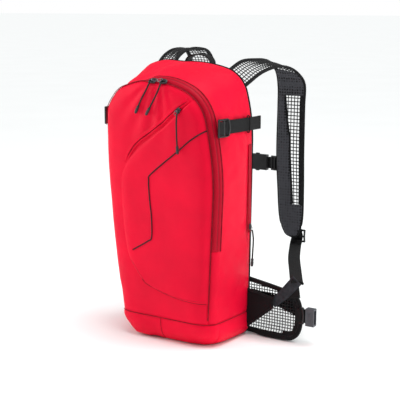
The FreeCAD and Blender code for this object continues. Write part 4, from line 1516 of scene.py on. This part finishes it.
# ---- the hip belt's wings: net in a wide binding, doubled near the buckle ----
WING_EDGE = [(94, 1.6), (130, 1.6), (165, 1.8), (178, 4.6), (186.6, 14), (190, 34), (188.6, 55), (182, 69.6),
             (168, 77), (150, 81.4), (120, 86.4), (94, 90.4)]
WING_Y = 54.0
HIP_Z = 42.5
WING_CELL = 4.6
BELT_WEBBING = [(180, WING_Y - 2.8, HIP_Z), (188, WING_Y - 2.9, HIP_Z), (192, WING_Y - 0.4, HIP_Z),
                (197, WING_Y, HIP_Z)]
LOWER_NET = np.array([(97, 6), (168, 6), (181, 20), (181, 39), (140, 54), (97, 60)])
DOUBLE_NET = np.array([(97, 58), (140, 52), (182, 38), (181, 60), (172, 68), (140, 66), (97, 72)])
UPPER_NET = np.array([(97, 70), (140, 64), (176, 58), (174, 68), (140, 77), (97, 85)])
DOUBLE_LOOP = rounded_loop(DOUBLE_NET, 4)
SHORTEST_THREAD = 1.5


def flat_net(loop, thread, y):
    """A square net of threads in the XZ plane, inside a closed loop. Upright threads come first."""
    parts = []
    for flat, weave in ((loop[:, ::-1], -0.3), (loop, 0.3)):
        low, high = flat[:, 1].min(), flat[:, 1].max()
        for at in np.arange(math.ceil(low / WING_CELL) * WING_CELL + 0.01, high, WING_CELL):
            start, end = crossings(at, flat)
            if end - start < SHORTEST_THREAD:
                continue
            run = np.linspace(start, end, max(3, int((end - start) / 2.0)))
            depth = y + weave * np.cos(run * math.pi / WING_CELL)
            path = np.stack([run, depth, np.full_like(run, at)], axis=1)
            if flat is not loop:
                path = path[:, ::-1]
            parts.append(sweep(path, circle(thread, 4), FORWARD, caps=False))
    return parts


def wing_binding():
    """The binding round the wing's free edges, and the wide cloth band inside it towards the buckle."""
    path = at_depth(even_path(smooth_path(WING_EDGE), 2.5, dims=2), WING_Y)
    along = tangents(path)
    inward = np.stack([-along[:, 2], np.zeros(len(path)), along[:, 0]], axis=1)
    far = path[:, 0] > 158
    parts = [edge_tape(path, inward, np.array(FORWARD, float), cover=6.5, thick=4.6),
             sweep(path[far] + inward[far] * 8.6, tape(3.0, 0.9), FORWARD, halfs=3.9)]
    return parts, path, inward


def curled(parts):
    """The wing's lower edge curls forward a little where it meets the ground."""
    bent = []
    for points, faces, uvs in parts:
        forward = 9.0 * np.clip(1 - points[:, 2] / 26, 0, 1) ** 2 * fade(points[:, 0], 100, 130)
        bent.append((points + np.outer(forward, FORWARD), faces, uvs))
    return bent


def wing_parts():
    """The cloth layers of one wing, made for the right: (name, parts, material)."""
    binding, edge_path, inward = wing_binding()
    nets = flat_net(LOWER_NET, 0.7, WING_Y) + flat_net(UPPER_NET, 0.75, WING_Y)
    double = flat_net(DOUBLE_NET, 0.8, WING_Y - 1.2) + flat_net(DOUBLE_NET + (1.9, 1.9), 0.8, WING_Y + 1.2)
    backing = [cushion(DOUBLE_LOOP, WING_Y + 1.9, 0.9, reach=2.0, rows=20, columns=30)]
    sewn = stitches(edge_path + inward * 5.6 + np.array(FORWARD) * 2.2, FORWARD, 4.0)
    return [("wing_net", nets, black_net), ("wing_double_net", double, black_net),
            ("wing_backing", backing, black_fabric), ("wing_binding", binding, black_binding),
            ("wing_stitching", sewn, stitch_black)]


for side in SIDES:
    body = f"hip_{side}"
    for stem, parts, material in wing_parts():
        piece(f"{stem}_{side}", folded(curled(parts), side, WING_ROOT), material, body,
              [f"hip_wing_{side}"] if stem == "wing_net" else ())
    belt = [webbing(BELT_WEBBING, 11.0, FORWARD, 1.5)]
    piece(f"hip_webbing_strip_{side}", folded(belt, side, WING_ROOT), black_webbing, body,
          [f"hip_webbing_{side}"])
    keeper = [turned(p, (188.2, WING_Y - 2.2, HIP_Z), y=90) for p in ladder_lock(27.0, 9.0, 3.6, 2.0, 0.0)]
    piece(f"hip_keeper_{side}", folded(keeper, side, WING_ROOT), black_plastic, body)
hip_rib = rounded_box((0.9, 0.9, 15.0), 0.35)
ribs = [turned(hip_rib, (200.5 + 2.1 * k, WING_Y - 5.0, HIP_Z)) for k in range(4)]
piece("hip_buckle_ribs", ribs, grey_plastic, "hip_socket")

# ---- the wearer's side: back panel, binding, pads and the yoke ----
BACK_LOW = 46.4
BINDING_Y = 48.6
PAD = [(14, 122), (58, 122), (64, 150), (66, 330), (56, 366), (24, 366), (14, 350)]
LUMBAR = [(-78, 22), (78, 22), (84, 40), (84, 84), (70, 108), (-70, 108), (-84, 84), (-84, 40)]
PAD_LOW, PAD_RISE = 49.4, 8.0
back_loop = leaned(ring(BACK_OUTLINE, 1.0), 1.0)
piece("back_panel_cloth", [cushion(back_loop, BACK_LOW, 2.5, reach=5.0, rows=80, columns=44, seed=6)], spacer,
      "pack", ["back_panel"])
bound = leaned(ring(BACK_OUTLINE, 3.0), 1.0)
bound_path = at_depth(np.vstack([bound, bound[:1]]), BINDING_Y)
piece("back_binding", [sweep(bound_path, tape(1.4, 0.8), BACKWARD, halfs=3.2)], black_binding, "pack")
piece("back_binding_stitching", stitches(bound_path + (0, 0.75, 0), BACKWARD, 3.6), stitch_black, "pack")
pad_loop, lumbar_loop = rounded_loop(PAD, 8), rounded_loop(LUMBAR, 8)
for side in SIDES:
    pad_parts = sided([cushion(pad_loop, PAD_LOW, PAD_RISE)], side)
    pad = piece(f"back_pad_cushion_{side}", pad_parts, spacer, "pack", [f"back_pad_{side}"])
    puff(pad)
lumbar_parts = [cushion(lumbar_loop, PAD_LOW, PAD_RISE, rows=34, columns=50, seed=7)]
lumbar = piece("lumbar_cushion", lumbar_parts, spacer, "pack", ["lumbar_pad"])
puff(lumbar)
seams = []
for loop, flip in ((pad_loop, 1), (pad_loop, -1), (lumbar_loop, 1)):
    path = at_depth((loop - outward(loop) * 1.5) * (flip, 1), PAD_LOW + 1.2)
    seams.append(sweep(np.vstack([path, path[:1]]), tape(1.0, 0.5), BACKWARD, halfs=1.8))
piece("pad_piping", seams, black_binding, "pack")
YOKE = [(-86, 49.7, 384), (-40, 50.0, 386), (0, 50.1, 387), (40, 50.0, 386), (86, 49.7, 384)]
YOKE_TACKS = (-78, -62, -46, -18, 24, 46, 62, 78)
piece("strap_yoke", [webbing(YOKE, 6.5, BACKWARD, 1.3)], black_webbing, "pack")
yoke_stitches = [bar_tack((x, 50.7, 385), (1, 0, 0), BACKWARD, 11) for x in YOKE_TACKS]
piece("yoke_tacks", yoke_stitches, stitch_black, "pack")

# ---- the sleeve inside, against the back ----
SLEEVE = [(-72, 70), (72, 70), (72, 318), (60, 330), (-60, 330), (-72, 318)]
SLEEVE_LOW = 36.9
sleeve = cushion(rounded_loop(SLEEVE), SLEEVE_LOW, 1.5, reach=3.0, rows=40, seed=8, lumps=0.3)
piece("sleeve_cloth", [sleeve], lining, "pack", ["hydration_sleeve"])
hem = np.array([(x, SLEEVE_LOW + 0.7, 327.5) for x in np.linspace(-60, 60, 30)])
piece("sleeve_hem", [sweep(hem, tape(2.4, 0.9), FORWARD, halfs=3.5)], black_binding, "pack")

# ---- the side zip, the base's middle seam, and painted shade along the base's own seam ----
SIDE_ZIP_LINE = np.array([(105.2, 38.0, z) for z in np.linspace(165, 299.5, 40)])
OUTWARD = (1, 0, 0)
side_tapes = [sweep(SIDE_ZIP_LINE + (0, y, 0), tape(1.1, 0.6), OUTWARD, halfs=1.7) for y in (-2.2, 2.2)]
piece("side_zip_tapes", side_tapes, shaded_red_band, "pack", ["side_zip_tape"])
piece("side_zip_coil", both_teeth(SIDE_ZIP_LINE + (0.9, 0, 0), OUTWARD, SMALL_PITCH), coil_nylon, "pack")
seam_z = np.linspace(37, 12, 9)
seam_x = np.full_like(seam_z, SEAM_X)
down_base = np.stack([seam_x, front_y(seam_x, seam_z) - 0.1, seam_z], axis=1)
under_base = [(SEAM_X, -50.2, 8.2), (SEAM_X, -46.0, 3.9), (SEAM_X, -41.0, 1.2)]
middle_seam = even_path(np.vstack([down_base, under_base]), 1.5)
piece("base_middle_seam", [sweep(middle_seam, tape(0.7, 0.3), FORWARD, halfs=0.55)], stitch_red, "pack")
# A thin dark line of painted shade along the base's own seam; it follows the shell's points at that height,
# in order round the bag.
base_loop = np.array([v.co[:] for v in SHELL.verts if abs(v.co.z - BASE_SEAM_Z) < 0.05])
base_loop = base_loop[np.argsort(np.arctan2(base_loop[:, 1] - 60, base_loop[:, 0] - SEAM_X))]
piece("base_seam_shade", [tube(even_path(base_loop, 2.0), SEAM_SHADE_RADIUS, 6)], painted_seam_shade, "pack")
